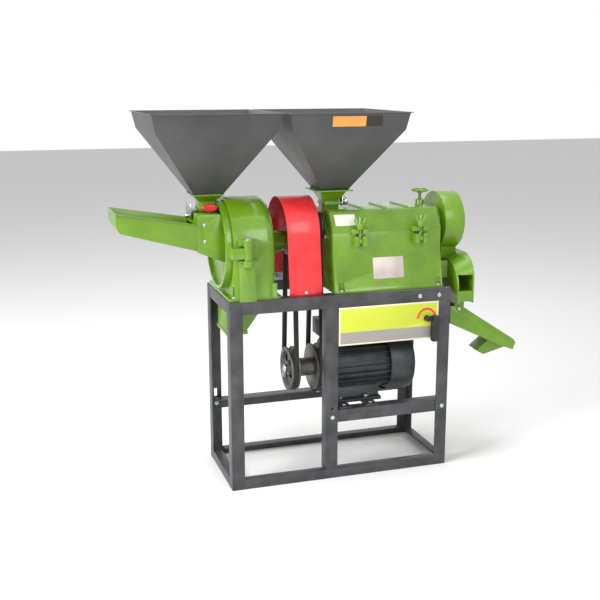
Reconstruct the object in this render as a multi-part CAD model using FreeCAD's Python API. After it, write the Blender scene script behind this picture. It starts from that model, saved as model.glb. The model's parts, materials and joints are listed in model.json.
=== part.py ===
import FreeCAD, Part
import math
import os
from FreeCAD import Vector as V

os.makedirs("parts", exist_ok=True)

# Combined rice huller and claw grinder on an angle-iron stand.
# Working frame: X along the stand from its left end, Y = 0 on the shaft line (front is -Y), Z up from the floor.
# Every piece is moved by -OX at the end, so the origin lies under the middle of the whole machine.

# ---------------------------------------------------------------- driving dimensions (mm)
FL, FW, FH = 725.0, 308.0, 600.0        # stand length, depth, height
HW = FW / 2
LA, LT = 40.0, 4.0                      # post and top-ring angle iron: leg, thickness
LB, BT = 30.0, 3.0                      # bottom-ring angle iron
MIDX = 305.0                            # left edge of the middle front post
RAIL_F = 226.0                          # top of the front motor rail
PACK_T = 18.0                           # packers that level the cross bars on the lower back rail
RAIL_B = RAIL_F - PACK_T
BAR_T, BAR_W = 6.0, 40.0                # cross bars under the motor
SHEET = 1.5                             # sheet steel of the hoppers and ducts
RUN = 0.05                              # running fit, radial
BRG_R, BRG_W = 26.0, 15.0               # bearing outer radius and width, the same on all three shafts

# Milling chamber, along X from its pulley end to its outlet end
H_X0, H_X1 = 339.0, FL - 22.0           # end walls
HULL_Z = FH + 196.0                     # mill and blower axis
PART_Z, FOLD_Z, BASE_Z = HULL_Z - 12.0, FH + 129.0, FH + 6.0    # cover joint, skirt fold, casting foot
TOP_Z = HULL_Z + 54.0
W_BASE = HW - 16.0                      # half widths: skirt foot, waist, cover top
W_MID, W_TOP = W_BASE - 26.0, W_BASE - 62.0
H_WALL, END_T = 5.0, 8.0
H_SHAFT_R = 15.0
ROLL_R, SCREEN_R = 39.0, 46.0
D_X0, D_X1, DRUM_R = H_X1 + 27.0, H_X1 + 95.0, 94.0             # blower drum

# Belts and pulleys
BELT_W, BELT_T, BELT_A = 17.0, 11.0, math.radians(18.0)
GROOVE = 0.35                           # clearance between belt and groove wall
SHEAVE_W = 28.0                         # rim width of one groove
SHEAVE1_R, SHEAVE2_R = 71.0, 75.0       # motor double pulley: grinder groove, mill groove
GPUL_R, HPUL_R = 46.0, 43.0             # grinder and mill pulleys

# Claw grinder
GZ, GR = FH + 153.0, HW - 8.0           # axis height, casing outer radius
G_X0, G_X1 = 18.0, 150.0                # casing front and rear faces
G_WALL = 7.0
DOOR_R = GR - 10.0
SIEVE_R, SIEVE_T = DOOR_R - 19.0, 2.0
BOSS_R, BOSS_X = 31.0, G_X1 + 66.0
G_SHAFT_R = 12.5
BELT1_X, BELT2_X = BOSS_X + 20.0, H_X0 - 19.0   # belt planes: grinder, mill

# Motor, set behind its pulley
SHAFT_H = 100.0                         # shaft height above the feet
SHAFT_R = 14.0
MZ = RAIL_F + BAR_T + SHAFT_H
M_X0 = BELT2_X + 22.0                   # front shield face
M_X1, M_X2 = M_X0 + 20.0, M_X0 + 214.0  # finned body
M_X3 = M_X2 + 84.0                      # fan cover end
M_R, M_FIN, M_COVER = 86.0, 97.0, 102.0 # body radius, over the fins, fan cover
FOOT_Y = 90.0                           # foot holes, either side of the shaft
BAR_X = (M_X0 + 33.0, M_X0 + 123.0)     # foot hole positions, over the cross bars

# Hoppers, feed box, tray, guard, chute
HOP_BOT = GZ + DOOR_R + 23.0            # hopper foot, fold and rim
HOP_BEND, HOP_TOP = HOP_BOT + 188.0, HOP_BOT + 240.0
HOP_X = (-33.0, H_X0 + 27.0)            # centres: grinder, mill
HOP_GAP = 13.0                          # between the two rims
LIP = 6.0
RIM = ((HOP_X[1] - HOP_X[0] - HOP_GAP) / 2, 202.0)              # rim half sizes, lip included
BEND = (RIM[0] - 17.0, RIM[1] - 17.0)
BOT = (45.0, 50.0)
BOX_X, BOX_Y, BOX_Z = -77.0, DOOR_R - 48.0, GZ + DOOR_R - 33.0  # feed box left side, half width, top
TRAY_X = BOX_X - 238.0
GUARD_X0, GUARD_X1, GUARD_T = 192.0, 296.0, 2.0
CHUTE_X, CHUTE_L = D_X0 + 13.0, 245.0   # discharge chute start and reach
XMIN, XMAX = TRAY_X - 3.0, CHUTE_X + CHUTE_L
OX = (XMIN + XMAX) / 2

BOLTS, DOOR_BOLTS, BEARINGS, LABELS = [], [], [], []     # pieces that share a node


# ---------------------------------------------------------------- helpers
def box(x0, x1, y0, y1, z0, z1):
    return Part.makeBox(x1 - x0, y1 - y0, z1 - z0, V(x0, y0, z0))


def cyl(axis, r, a0, a1, p, q):
    """Cylinder along an axis from a0 to a1; p, q are the two other coordinates in X, Y, Z order."""
    pos = {"x": V(a0, p, q), "y": V(p, a0, q), "z": V(p, q, a0)}[axis]
    return Part.makeCylinder(r, a1 - a0, pos, {"x": V(1, 0, 0), "y": V(0, 1, 0), "z": V(0, 0, 1)}[axis])


def ring(axis, ro, ri, a0, a1, p, q):
    return cyl(axis, ro, a0, a1, p, q).cut(cyl(axis, ri, a0 - 1, a1 + 1, p, q))


def prism(axis, pts, a0, a1):
    """Polygon given in the two other coordinates, pushed along an axis."""
    place = {"x": lambda u, v: V(a0, u, v), "y": lambda u, v: V(u, a0, v), "z": lambda u, v: V(u, v, a0)}[axis]
    vec = {"x": V(1, 0, 0), "y": V(0, 1, 0), "z": V(0, 0, 1)}[axis] * (a1 - a0)
    ps = [place(*p) for p in pts]
    return Part.Face(Part.makePolygon(ps + [ps[0]])).extrude(vec)


def arch(x0, x1, r, zc, z0, half=None):
    """Round-topped upright slab: half circle of radius r on straight sides down to z0."""
    h = r if half is None else half
    e = [Part.Arc(V(x0, -r, zc), V(x0, 0, zc + r), V(x0, r, zc)).toShape(),
         Part.makeLine(V(x0, r, zc), V(x0, h, z0)),
         Part.makeLine(V(x0, h, z0), V(x0, -h, z0)),
         Part.makeLine(V(x0, -h, z0), V(x0, -r, zc))]
    return Part.Face(Part.Wire(e)).extrude(V(x1 - x0, 0, 0))


def fuse(parts):
    joined = parts[0].multiFuse(parts[1:]) if len(parts) > 1 else parts[0]
    return joined.removeSplitter()


def both(s, a, b):
    """The range from a to b on the side of the XZ plane that s names, in rising order."""
    return (a, b) if s > 0 else (-b, -a)


def turned(shape, angle, z, axis=V(1, 0, 0)):
    """A shape drawn round the origin, turned about an axis and lifted to height z."""
    shape.rotate(V(0, 0, 0), axis, angle)
    shape.translate(V(0, 0, z))
    return shape


def largest(shape):
    return max(shape.Solids, key=lambda b: b.Volume)


def upright_edges(shape):
    """Edges that run straight up, for rounding a plate's corners."""
    return [e for e in shape.Edges if abs(e.Vertexes[0].X - e.Vertexes[-1].X) < 1e-6
            and abs(e.Vertexes[0].Y - e.Vertexes[-1].Y) < 1e-6]


def drill(shape, tools):
    return shape.cut(Part.makeCompound(tools)) if tools else shape


def hexprism(axis, af, a0, a1, p, q):
    r = af / math.sqrt(3)
    pts = [(p + r * math.cos(math.radians(60 * k + 30)), q + r * math.sin(math.radians(60 * k + 30)))
           for k in range(6)]
    return prism(axis, pts, a0, a1)


HEX_AF = 1.6                            # hexagon across flats, in thread diameters


def bolt(axis, sgn, seat, p, q, d, grip, nut=True):
    """Hexagon bolt: its head bears at 'seat' on an axis, the shank runs in direction sgn through 'grip' mm."""
    h = 0.65 * d
    out = []
    end = seat + sgn * (grip + (1.1 * d if nut else 0))
    head = hexprism(axis, HEX_AF * d, min(seat, seat - sgn * h), max(seat, seat - sgn * h), p, q)
    shank = cyl(axis, d / 2, min(seat, end), max(seat, end), p, q)
    out.append(head.fuse(shank).removeSplitter())
    if nut:
        n0, n1 = seat + sgn * grip, seat + sgn * (grip + 0.8 * d)
        n = hexprism(axis, HEX_AF * d, min(n0, n1), max(n0, n1), p, q)
        out.append(n.cut(cyl(axis, d / 2, min(n0, n1) - 1, max(n0, n1) + 1, p, q)))
    return out


def hole(axis, seat, p, q, d, reach=14.0):
    return cyl(axis, d / 2 + 0.25, seat - reach, seat + reach, p, q)


def revolve_x(pts, z, y=0.0):
    """Closed (x, r) outline turned about an X-parallel axis through (y, z)."""
    ps = [V(px, y, z + pr) for px, pr in pts]
    return Part.Face(Part.makePolygon(ps + [ps[0]])).revolve(V(0, y, z), V(1, 0, 0), 360)


def save(name, shapes):
    if not isinstance(shapes, (list, tuple)):
        shapes = [shapes]
    solids = [s for sh in shapes for s in sh.Solids]
    comp = solids[0] if len(solids) == 1 else Part.makeCompound(solids)
    comp = comp.copy()
    comp.translate(V(-OX, 0, 0))
    comp.exportStep("parts/%s.step" % name)


# ---------------------------------------------------------------- stand
def angle_post(x, y, sx, sy, z0, z1, leg=LA, t=LT):
    return prism("z", [(x, y), (x + sx * leg, y), (x + sx * leg, y + sy * t), (x + sx * t, y + sy * t),
                       (x + sx * t, y + sy * leg), (x, y + sy * leg)], z0, z1)


GRIND_D, MILL_D, M8 = 10, 8, 8             # bolt sizes
GRIND_BOLTS = [(x, s * 134.0) for x in (G_X0 + 2.0, G_X1 - 2.0) for s in (-1, 1)]
MILL_BOLTS = [(x, s * 134.5) for x in (H_X0 + 23.0, H_X1 - 14.0) for s in (-1, 1)]
RAIL_BOLTS = [(FL - 108.0, FH - 21.0), (FL - 42.0, FH - 21.0)]     # control box hangers, (x, z)
MB_Z = RAIL_F - LA / 2                      # bolt height in the front motor rail
BB_Z = RAIL_B - LA / 2                      # bolt height in the back motor rail
POST_X = (LA / 2, FL - LA / 2)
MID_BOLT_X = MIDX + LA / 2 + 1.0
SLOT_L, SLOT_W = 28.0, 10.0                 # belt-setting slots in the motor rails
BAR_BOLT_Y = HW - 26.0                      # cross bar bolts

posts = []
for x, sx in ((0.0, 1), (FL, -1)):
    for y, sy in ((-HW, 1), (HW, -1)):
        p = angle_post(x, y, sx, sy, 0.0, FH - LT)
        px = POST_X[0] if sx > 0 else POST_X[1]
        if sy < 0:
            slot_z = BB_Z + 22.0
            p = drill(p, [hole("y", y, px, BB_Z, M8),
                          box(px - SLOT_W / 2, px + SLOT_W / 2, y - 6, y + 6, slot_z, slot_z + SLOT_L)])
        elif sx < 0:
            p = drill(p, [hole("y", y, px, MB_Z, M8)] + [hole("y", y, bx, bz, M8) for bx, bz in RAIL_BOLTS])
        posts.append(p)

mid = fuse([box(MIDX, MIDX + LA, -HW, -HW + LT, LB, FH - LA),
            box(MIDX, MIDX + LT, -HW + LT, -HW + LA, LB, FH - LT)])
mid = drill(mid, [hole("y", -HW, MID_BOLT_X, z, M8) for z in (MB_Z, MB_Z + 28.0)])
save("frame_posts", posts + [mid])

top = []
for s in (-1, 1):
    flat = prism("z", [(0, s * HW), (FL, s * HW), (FL - LA, s * (HW - LA)), (LA, s * (HW - LA))], FH - LT, FH)
    web = box(LA, FL - LA, *both(s, HW - LT, HW), FH - LA, FH - LT)
    holes = [hole("z", FH, x, y, GRIND_D) for x, y in GRIND_BOLTS]
    holes += [hole("z", FH, x, y, MILL_D) for x, y in MILL_BOLTS]
    if s < 0:
        holes += [hole("y", -HW, x, z, M8) for x, z in RAIL_BOLTS]
    top.append(drill(fuse([flat, web]), holes))
for x, s in ((0.0, 1), (FL, -1)):
    flat = prism("z", [(x, -HW), (x, HW), (x + s * LA, HW - LA), (x + s * LA, -HW + LA)], FH - LT, FH)
    web = box(min(x, x + s * LT), max(x, x + s * LT), -HW + LA, HW - LA, FH - LA, FH - LT)
    top.append(drill(fuse([flat, web]), [hole("z", FH, gx, gy, GRIND_D) for gx, gy in GRIND_BOLTS]))
save("frame_top_rails", top)

low = []
for s in (-1, 1):
    low.append(fuse([box(LA, FL - LA, *both(s, HW - BT, HW), 0, LB),
                     box(LA, FL - LA, *both(s, HW - LB, HW - BT), LB - BT, LB)]))
for x, s in ((0.0, 1), (FL, -1)):
    x1, x2 = x + s * BT, x + s * LB
    low.append(fuse([box(min(x, x1), max(x, x1), -HW + LA, HW - LA, 0, LB),
                     box(min(x1, x2), max(x1, x2), -HW + LA, HW - LA, LB - BT, LB)]))
save("frame_bottom_rails", low)

# Motor rails: angle iron bolted inside the posts, flat leg on top, with slots for setting the belt tension.
def slots(xs, y, z):
    return [box(x - SLOT_L / 2, x + SLOT_L / 2, y - SLOT_W / 2, y + SLOT_W / 2, z - 8, z + 4) for x in xs]


fr = fuse([box(MIDX + LT, FL - LT, -HW + LT, -HW + 2 * LT, RAIL_F - LA, RAIL_F),
           box(MIDX + LT, FL - LT, -HW + 2 * LT, -HW + LT + LA, RAIL_F - LT, RAIL_F)])
fr = drill(fr, [hole("y", -HW, x, MB_Z, M8) for x in (MID_BOLT_X, POST_X[1])]
           + slots(BAR_X + (BAR_X[1] + 54.0,), -BAR_BOLT_Y, RAIL_F))
br = fuse([box(LT, FL - LT, HW - 2 * LT, HW - LT, RAIL_B - LA, RAIL_B),
           box(LT, FL - LT, HW - LT - LA, HW - 2 * LT, RAIL_B - LT, RAIL_B)])
br = drill(br, [hole("y", HW, px, BB_Z, M8) for px in POST_X] + slots(BAR_X, BAR_BOLT_Y, RAIL_B))
save("motor_rails", [fr, br])

FOOT_D = 10                                 # motor foot bolts
bars, packs = [], []
for bx in BAR_X:
    b = box(bx - BAR_W / 2, bx + BAR_W / 2, -HW + 2 * LT + 1, HW - 2 * LT - 1, RAIL_F, RAIL_F + BAR_T)
    bars.append(drill(b, [hole("z", RAIL_F, bx, s * BAR_BOLT_Y, M8) for s in (-1, 1)]
                      + [hole("z", RAIL_F, bx, s * FOOT_Y, FOOT_D) for s in (-1, 1)]))
    k = box(bx - BAR_W / 2, bx + BAR_W / 2, HW - LT - LA + 1, HW - 2 * LT - 1, RAIL_B, RAIL_F)
    packs.append(drill(k, [hole("z", RAIL_F, bx, BAR_BOLT_Y, M8, PACK_T + 1)]))
    BOLTS += bolt("z", -1, RAIL_F + BAR_T, bx, -BAR_BOLT_Y, M8, BAR_T + LT)
    BOLTS += bolt("z", -1, RAIL_F + BAR_T, bx, BAR_BOLT_Y, M8, BAR_T + PACK_T + LT)
save("motor_cross_bars", bars + packs)
for px in (MID_BOLT_X, POST_X[1]):
    BOLTS += bolt("y", 1, -HW, px, MB_Z, M8, 2 * LT)
for px in POST_X:
    BOLTS += bolt("y", -1, HW, px, BB_Z, M8, 2 * LT)

# ---------------------------------------------------------------- motor
FOOT_Z = RAIL_F + BAR_T
FOOT_T = 10.0
BORE_R = M_R - 6.0                          # stator bore of the housing
FIN_W, N_FIN = 3.2, 28
FIN_GAPS = ((60, 120), (218, 322))          # no fins under the terminal box and over the feet, degrees
FOOT_X = (M_X0 + 8.0, M_X0 + 170.0)
body = [revolve_x([(M_X1, BORE_R), (M_X2, BORE_R), (M_X2, M_R), (M_X1, M_R)], MZ)]
for k in range(N_FIN):
    a = 360.0 * (k + 0.5) / N_FIN
    if not any(lo < a < hi for lo, hi in FIN_GAPS):
        body.append(turned(box(M_X1 + 6, M_X2 - 4, M_R - 2, M_FIN, -FIN_W / 2, FIN_W / 2), a, MZ))
for s in (-1, 1):
    foot = [(FOOT_Y + 16, 0), (FOOT_Y + 16, FOOT_T - 1), (FOOT_Y - 8, FOOT_T + 1), (FOOT_Y - 18, 44),
            (FOOT_Y - 30, 40), (FOOT_Y - 28, 0)]
    body.append(prism("x", [(s * y, FOOT_Z + z) for y, z in foot], *FOOT_X))
body.append(box(M_X0 + 28, M_X0 + 128, -38, 38, MZ + 70, MZ + M_FIN - 2))
housing = fuse(body).cut(cyl("x", BORE_R, M_X1 - 1, M_X2 + 1, 0, MZ))

SPIGOT_R = M_R + 7.0                        # shield rim, flush over the body
shield_f = revolve_x([(M_X0, SHAFT_R + 1), (M_X0, 44), (M_X0 + 8, 60), (M_X0 + 8, SPIGOT_R), (M_X1, SPIGOT_R),
                      (M_X1, 58), (M_X0 + 14, 50), (M_X0 + 18, BRG_R), (M_X0 + 3, BRG_R), (M_X0 + 3, SHAFT_R + 1)], MZ)
shield_r = revolve_x([(M_X2, SPIGOT_R), (M_X2 + 8, SPIGOT_R), (M_X2 + 8, SHAFT_R + 1), (M_X2 + 5, SHAFT_R + 1),
                      (M_X2 + 5, BRG_R), (M_X2 - 10, BRG_R), (M_X2 - 10, 32), (M_X2, 60)], MZ)
save("motor_end_shields", [shield_f, shield_r])
feet = [(bx, s * FOOT_Y) for bx in BAR_X for s in (-1, 1)]
housing = drill(housing, [shield_f] + [hole("z", FOOT_Z, x, y, FOOT_D, 16) for x, y in feet]
                + [cyl("z", FOOT_D + 0.5, FOOT_Z + FOOT_T, FOOT_Z + 50, x, y) for x, y in feet])
save("motor_housing", housing)
for x, y in feet:
    BOLTS += bolt("z", -1, FOOT_Z + FOOT_T, x, y, FOOT_D, FOOT_T + BAR_T)
for x in (M_X0 + 3.0, M_X2 - 10.0):
    BEARINGS.append(ring("x", BRG_R, SHAFT_R + RUN, x, x + BRG_W, 0, MZ))
CORE = (M_X0 + 54.0, M_X2 - 26.0)           # stator stack
AIR_GAP = 0.6
CORE_R = 55.0
save("motor_stator", ring("x", BORE_R, CORE_R + AIR_GAP, *CORE, 0, MZ))

COVER_T = 1.6
co, ci = M_COVER, M_COVER - COVER_T
cover_in = M_FIN + 0.3                      # the cover's rolled lip sits over the fins
fan_cover = revolve_x([(M_X2 - 6, cover_in), (M_X2 - 6, co), (M_X3 - 16, co), (M_X3 - 6, co - 4), (M_X3, co - 16),
                       (M_X3, 0), (M_X3 - COVER_T, 0), (M_X3 - COVER_T, co - 17), (M_X3 - 7, ci - 4),
                       (M_X3 - 16, ci), (M_X2 + 9, ci), (M_X2 + 9, cover_in)], MZ)
vents = [turned(box(M_X3 - 5, M_X3 + 1, -3, 3, 28, 74), 30.0 * k, MZ) for k in range(12)]
save("motor_fan_cover", drill(fan_cover, vents))

FAN = (M_X2 + 22.0, M_X2 + 50.0)
blades = [turned(box(*FAN, 24, 84, -1.2, 1.2), 45.0 * k, MZ) for k in range(8)]
save("motor_fan", fuse([ring("x", 26.0, SHAFT_R, *FAN, 0, MZ)] + blades))

SHAFT_X0 = BELT1_X - 22.0
x0, x1 = SHAFT_X0, FAN[1] + 2
save("motor_rotor_shaft", revolve_x([(x0, 0), (x1, 0), (x1, SHAFT_R), (CORE[1] - 4, SHAFT_R), (CORE[1] - 4, CORE_R),
                                     (CORE[0] + 4, CORE_R), (CORE[0] + 4, SHAFT_R), (x0 + 2, SHAFT_R),
                                     (x0, SHAFT_R - 2)], MZ))
tx0, tx1, tz = M_X0 - 4.0, M_X0 + 98.0, MZ + M_FIN - 2.0
terminal = box(tx0, tx1, -12, 80, tz, tz + 52)
save("motor_terminal_box", terminal.cut(box(tx0 + 3, tx1 - 3, -9, 77, tz + 3, tz + 48)))


# One V-belt groove section, used for the pulleys and the belts alike.
def groove(x, r_out):
    over = 1.0                              # the cutting profile starts this far outside the rim
    hw_top = BELT_W / 2 + GROOVE / math.cos(BELT_A) + over * math.tan(BELT_A)
    d = BELT_T + 1.6
    hw_bot = hw_top - (d + over) * math.tan(BELT_A)
    return [(x - hw_top, r_out + over), (x - hw_bot, r_out - d), (x + hw_bot, r_out - d), (x + hw_top, r_out + over)]


def sheave(x, r_out):
    """Rim outline of one grooved pulley, from its left face to its right."""
    g = groove(x, r_out)
    t = (g[0][1] - r_out) / (g[0][1] - g[1][1])
    xl = g[0][0] + (g[1][0] - g[0][0]) * t
    return [(x - SHEAVE_W / 2, r_out), (xl, r_out), g[1], g[2], (2 * x - xl, r_out), (x + SHEAVE_W / 2, r_out)]


def pulley(x, r_out, bore, z):
    half = SHEAVE_W / 2
    return revolve_x([(x - half, bore)] + sheave(x, r_out) + [(x + half, bore)], z)


HUB_R = 30.0
half = SHEAVE_W / 2
prof = ([(BELT1_X - 10, SHAFT_R), (BELT1_X - 10, HUB_R - 6), (BELT1_X - 4, HUB_R - 6), (BELT1_X - 4, SHEAVE1_R - 18),
         (BELT1_X - half, SHEAVE1_R - 13)] + sheave(BELT1_X, SHEAVE1_R)
        + [(BELT1_X + half, HUB_R), (BELT2_X - half, HUB_R)] + sheave(BELT2_X, SHEAVE2_R) + [(BELT2_X + half, SHAFT_R)])
WEB_HOLE_R, WEB_HOLE_AT = 10.5, 41.5        # lightening holes in the double pulley's face
webs = [turned(cyl("x", WEB_HOLE_R, BELT1_X - half - 1, BELT1_X + half + 1, 0, WEB_HOLE_AT), 45 + 90.0 * k, MZ)
        for k in range(4)]
save("motor_double_pulley", drill(revolve_x(prof, MZ), webs))


# ---------------------------------------------------------------- V-belts
def belt(x, c0, r0, c1, r1):
    """Closed belt round two pulleys on vertical centres c0 < c1 with outer belt radii r0 and r1."""
    b = math.asin((r0 - r1) / (c1 - c0))

    def loop(off):
        ra, rb = r0 - off, r1 - off
        pa = (ra * math.cos(b), c0 + ra * math.sin(b))
        pb = (rb * math.cos(b), c1 + rb * math.sin(b))
        return [Part.makeLine(V(x, pa[0], pa[1]), V(x, pb[0], pb[1])),
                Part.Arc(V(x, pb[0], pb[1]), V(x, 0, c1 + rb), V(x, -pb[0], pb[1])).toShape(),
                Part.makeLine(V(x, -pb[0], pb[1]), V(x, -pa[0], pa[1])),
                Part.Arc(V(x, -pa[0], pa[1]), V(x, 0, c0 - ra), V(x, pa[0], pa[1])).toShape()]

    path = Part.Wire(loop(0))
    pa = (r0 * math.cos(b), c0 + r0 * math.sin(b))
    u = V(0, math.cos(b), math.sin(b))
    o = V(x, pa[0], pa[1])
    h, g = BELT_W / 2, BELT_W / 2 - BELT_T * math.tan(BELT_A)
    q = [o + V(-h, 0, 0), o + V(h, 0, 0), o + V(g, 0, 0) - u * BELT_T, o + V(-g, 0, 0) - u * BELT_T]
    sec = Part.makePolygon(q + [q[0]])
    sh = path.makePipeShell([sec], True, False)
    return sh if sh.Volume > 0 else sh.reversed()


save("grinder_belt", belt(BELT1_X, MZ, SHEAVE1_R, GZ, GPUL_R))
save("mill_belt", belt(BELT2_X, MZ, SHEAVE2_R, HULL_Z, HPUL_R))


# ---------------------------------------------------------------- belt guard
GUARD_FOOT, GUARD_R, GUARD_ZC = 138.0, 117.0, GZ + 23.0     # half width at the foot, top radius and its centre
GUARD_BEND = FH + 26.0                                      # where the straight foot turns inwards


def guard_side(x, s, off):
    """Foot, bend and shoulder points of one side of the guard, drawn in by off."""
    foot_y = s * (GUARD_FOOT - off)
    return [V(x, foot_y, FH), V(x, foot_y, GUARD_BEND), V(x, s * (GUARD_R - off), GUARD_ZC)]


def guard_wire(x):
    """Closed section of the bent sheet: outer line over the top, inner line back."""
    fo, ro, fi, ri = [guard_side(x, s, off) for off in (0.0, GUARD_T) for s in (-1, 1)]
    outer = [Part.makeLine(fo[0], fo[1]), Part.makeLine(fo[1], fo[2]),
             Part.Arc(fo[2], V(x, 0, GUARD_ZC + GUARD_R), ro[2]).toShape(),
             Part.makeLine(ro[2], ro[1]), Part.makeLine(ro[1], ro[0])]
    inner = [Part.makeLine(ro[0], ri[0]), Part.makeLine(ri[0], ri[1]), Part.makeLine(ri[1], ri[2]),
             Part.Arc(ri[2], V(x, 0, GUARD_ZC + GUARD_R - GUARD_T), fi[2]).toShape(),
             Part.makeLine(fi[2], fi[1]), Part.makeLine(fi[1], fi[0]), Part.makeLine(fi[0], fo[0])]
    return Part.Wire(outer + inner)


GB_X, GB_Z, GB_D = (GUARD_X0 + GUARD_X1) / 2, FH + 12.0, 6
CLIP_T, CLIP_W = 3.0, 50.0
guard = Part.Face(guard_wire(GUARD_X0)).extrude(V(GUARD_X1 - GUARD_X0, 0, 0))
save("belt_guard", drill(guard, [hole("y", s * GUARD_FOOT, GB_X, GB_Z, GB_D) for s in (-1, 1)]))
for s in (-1, 1):
    y_out = GUARD_FOOT - GUARD_T
    clip = fuse([box(GB_X - CLIP_W / 2, GB_X + CLIP_W / 2, *both(s, y_out - CLIP_T, y_out), FH, FH + 24),
                 box(GB_X - CLIP_W / 2, GB_X + CLIP_W / 2, *both(s, y_out - 18, y_out - CLIP_T), FH, FH + CLIP_T)])
    BOLTS.append(drill(clip, [hole("y", s * GUARD_FOOT, GB_X, GB_Z, GB_D)]))
    BOLTS += bolt("y", -s, s * GUARD_FOOT, GB_X, GB_Z, GB_D, GUARD_T + CLIP_T)

# ---------------------------------------------------------------- grinder
casing = arch(G_X0, G_X1, GR, GZ, BASE_Z)
at_rear = [e for e in casing.Edges if all(abs(v.X - G_X1) < 1e-6 for v in e.Vertexes)
           and max(v.Z for v in e.Vertexes) > GZ - 5]
casing = casing.makeFillet(32.0, at_rear)
flange = box(G_X0 - 16, G_X1 + 16, -GR - 1, GR + 1, FH, BASE_Z + 2)
flange = flange.makeFillet(14.0, upright_edges(flange))
PIN_R, KNUCKLE_R = 7.0, 14.0               # door hinge pin and knuckle
HING_X, HING_Y = G_X0 + 40.0, -GR - KNUCKLE_R - 1.0
COL_X = (G_X0 + 14.0, G_X0 + 66.0)         # cast column that carries the hinge
LUG_Z = ((GZ - 45.0, GZ - 27.0), (GZ + 17.0, GZ + 35.0))
column = [(COL_X[0], -GR + 3), (COL_X[0], -GR - 8), (COL_X[0] + 9, -GR - 13), (COL_X[1] - 9, -GR - 13),
          (COL_X[1], -GR - 8), (COL_X[1], -GR + 3)]
extra = [flange, cyl("x", BOSS_R, G_X1 - 20, BOSS_X, 0, GZ), prism("z", column, FH, LUG_Z[0][0] + 4)]
for z0, z1 in LUG_Z:
    extra.append(cyl("z", PIN_R + 10.0, z0, z1, HING_X, HING_Y))
    extra.append(box(HING_X - 28, HING_X + 28, HING_Y + 2, -GR + 4, z0, z1))
for k in range(4):
    web = prism("y", [(G_X1 - 4, BOSS_R - 3), (G_X1 - 4, BOSS_R + 34), (BOSS_X - 14, BOSS_R + 2),
                      (BOSS_X - 14, BOSS_R - 3)], -4, 4)
    extra.append(turned(web, 45 + 90 * k, GZ))
casing = fuse([casing] + extra)
CAV_X = (G_X0 + 8.0, G_X1 - 9.0)           # inside of the casing
cav = arch(*CAV_X, GR - G_WALL, GZ, BASE_Z - 0.5)
cav = cav.makeFillet(24.0, [e for e in cav.Edges if all(abs(v.X - CAV_X[1]) < 1e-6 for v in e.Vertexes)
                            and max(v.Z for v in e.Vertexes) > GZ - 5])
MOUTH_R = DOOR_R - 11.0                    # opening that the door closes
OUT_X, OUT_Y = (LA + 4.0, G_X1 - 22.0), 96.0    # outlet opening in the grinder floor
casing = casing.cut(cav).cut(cyl("x", MOUTH_R, G_X0 - 1, CAV_X[0] + 1, 0, GZ))
casing = casing.cut(box(*OUT_X, -OUT_Y, OUT_Y, FH - 1, BASE_Z + 3))
SEAT_X = G_X1 - 46.0                       # ledge that the sieve stands against
POCKET_Z, POCKET_R = BASE_Z + 38.0, 10.5   # bolt pockets in the four lower corners
outer = arch(G_X0, G_X1, GR, GZ, BASE_Z)
bosses = [cyl("z", POCKET_R + 4.5, FH, POCKET_Z + 5, x, y).common(outer) for x, y in GRIND_BOLTS]
casing = fuse([casing, ring("x", SIEVE_R + 3, SIEVE_R - 4, SEAT_X, CAV_X[1] + 1, 0, GZ)] + bosses)
casing = drill(casing, [cyl("z", POCKET_R, BASE_Z + 2, POCKET_Z, x, y) for x, y in GRIND_BOLTS])
G_BRG = (CAV_X[1], BOSS_X - BRG_W - 2.0)   # bearing seats along the spindle
casing = drill(casing, [cyl("x", BRG_R - 4, CAV_X[1] - 21, BOSS_X + 1, 0, GZ),
                        cyl("x", BRG_R, G_BRG[0] - 1, G_BRG[0] + BRG_W, 0, GZ),
                        cyl("x", BRG_R, G_BRG[1], BOSS_X + 1, 0, GZ),
                        cyl("z", PIN_R + RUN, LUG_Z[0][0] - 1, LUG_Z[1][1] + 1, HING_X, HING_Y)]
               + [hole("z", BASE_Z + 2, x, y, GRIND_D) for x, y in GRIND_BOLTS])
save("grinder_casing", casing)
BEARINGS += [ring("x", BRG_R, G_SHAFT_R + RUN, x, x + BRG_W, 0, GZ) for x in G_BRG]
BEARINGS.append(ring("x", BOSS_R - 2, G_SHAFT_R + 0.6, BOSS_X, BOSS_X + 2.5, 0, GZ))
for x, y in GRIND_BOLTS:
    BOLTS += bolt("z", -1, BASE_Z + 2, x, y, GRIND_D, BASE_Z + 2 - FH + LT)

# Door: plate with a raised rim, knuckle arm at the front, inlet in the middle, fixed claws inside.
DOOR_X = (G_X0 - 10.0, G_X0 - 0.5)         # door plate
RIM_T, INLET_R = 9.0, 38.0
COLLAR_R = INLET_R + 12.0                  # raised ring round the inlet, inside the feed box
LATCH_Y, LATCH_R, LATCH_W = GR + 12.0, 6.0, 14.0
arm_z = (LUG_Z[0][1] + 6, LUG_Z[1][0] - 6)
door = [cyl("x", DOOR_R, *DOOR_X, 0, GZ), ring("x", DOOR_R, DOOR_R - RIM_T, G_X0 - 22, DOOR_X[0] + 1, 0, GZ),
        ring("x", COLLAR_R, INLET_R + 4, DOOR_X[0] - 6, DOOR_X[0] + 1, 0, GZ),
        cyl("z", KNUCKLE_R, LUG_Z[0][1] + 0.5, LUG_Z[1][0] - 0.5, HING_X, HING_Y),
        box(DOOR_X[0], HING_X, HING_Y - 9, HING_Y + 8, *arm_z), box(*DOOR_X, HING_Y - 9, -DOOR_R + 18, *arm_z),
        box(*DOOR_X, DOOR_R - 18, GR + 22, GZ - LATCH_W, GZ + LATCH_W)]
PLATE_BOLT_R, PLATE_BOLT_A = DOOR_R - 29.0, (20, 160, 200, 340)     # bolts that hold the claw plate
dpos = [(PLATE_BOLT_R * math.cos(math.radians(a)), GZ + PLATE_BOLT_R * math.sin(math.radians(a)))
        for a in PLATE_BOLT_A]
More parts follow.
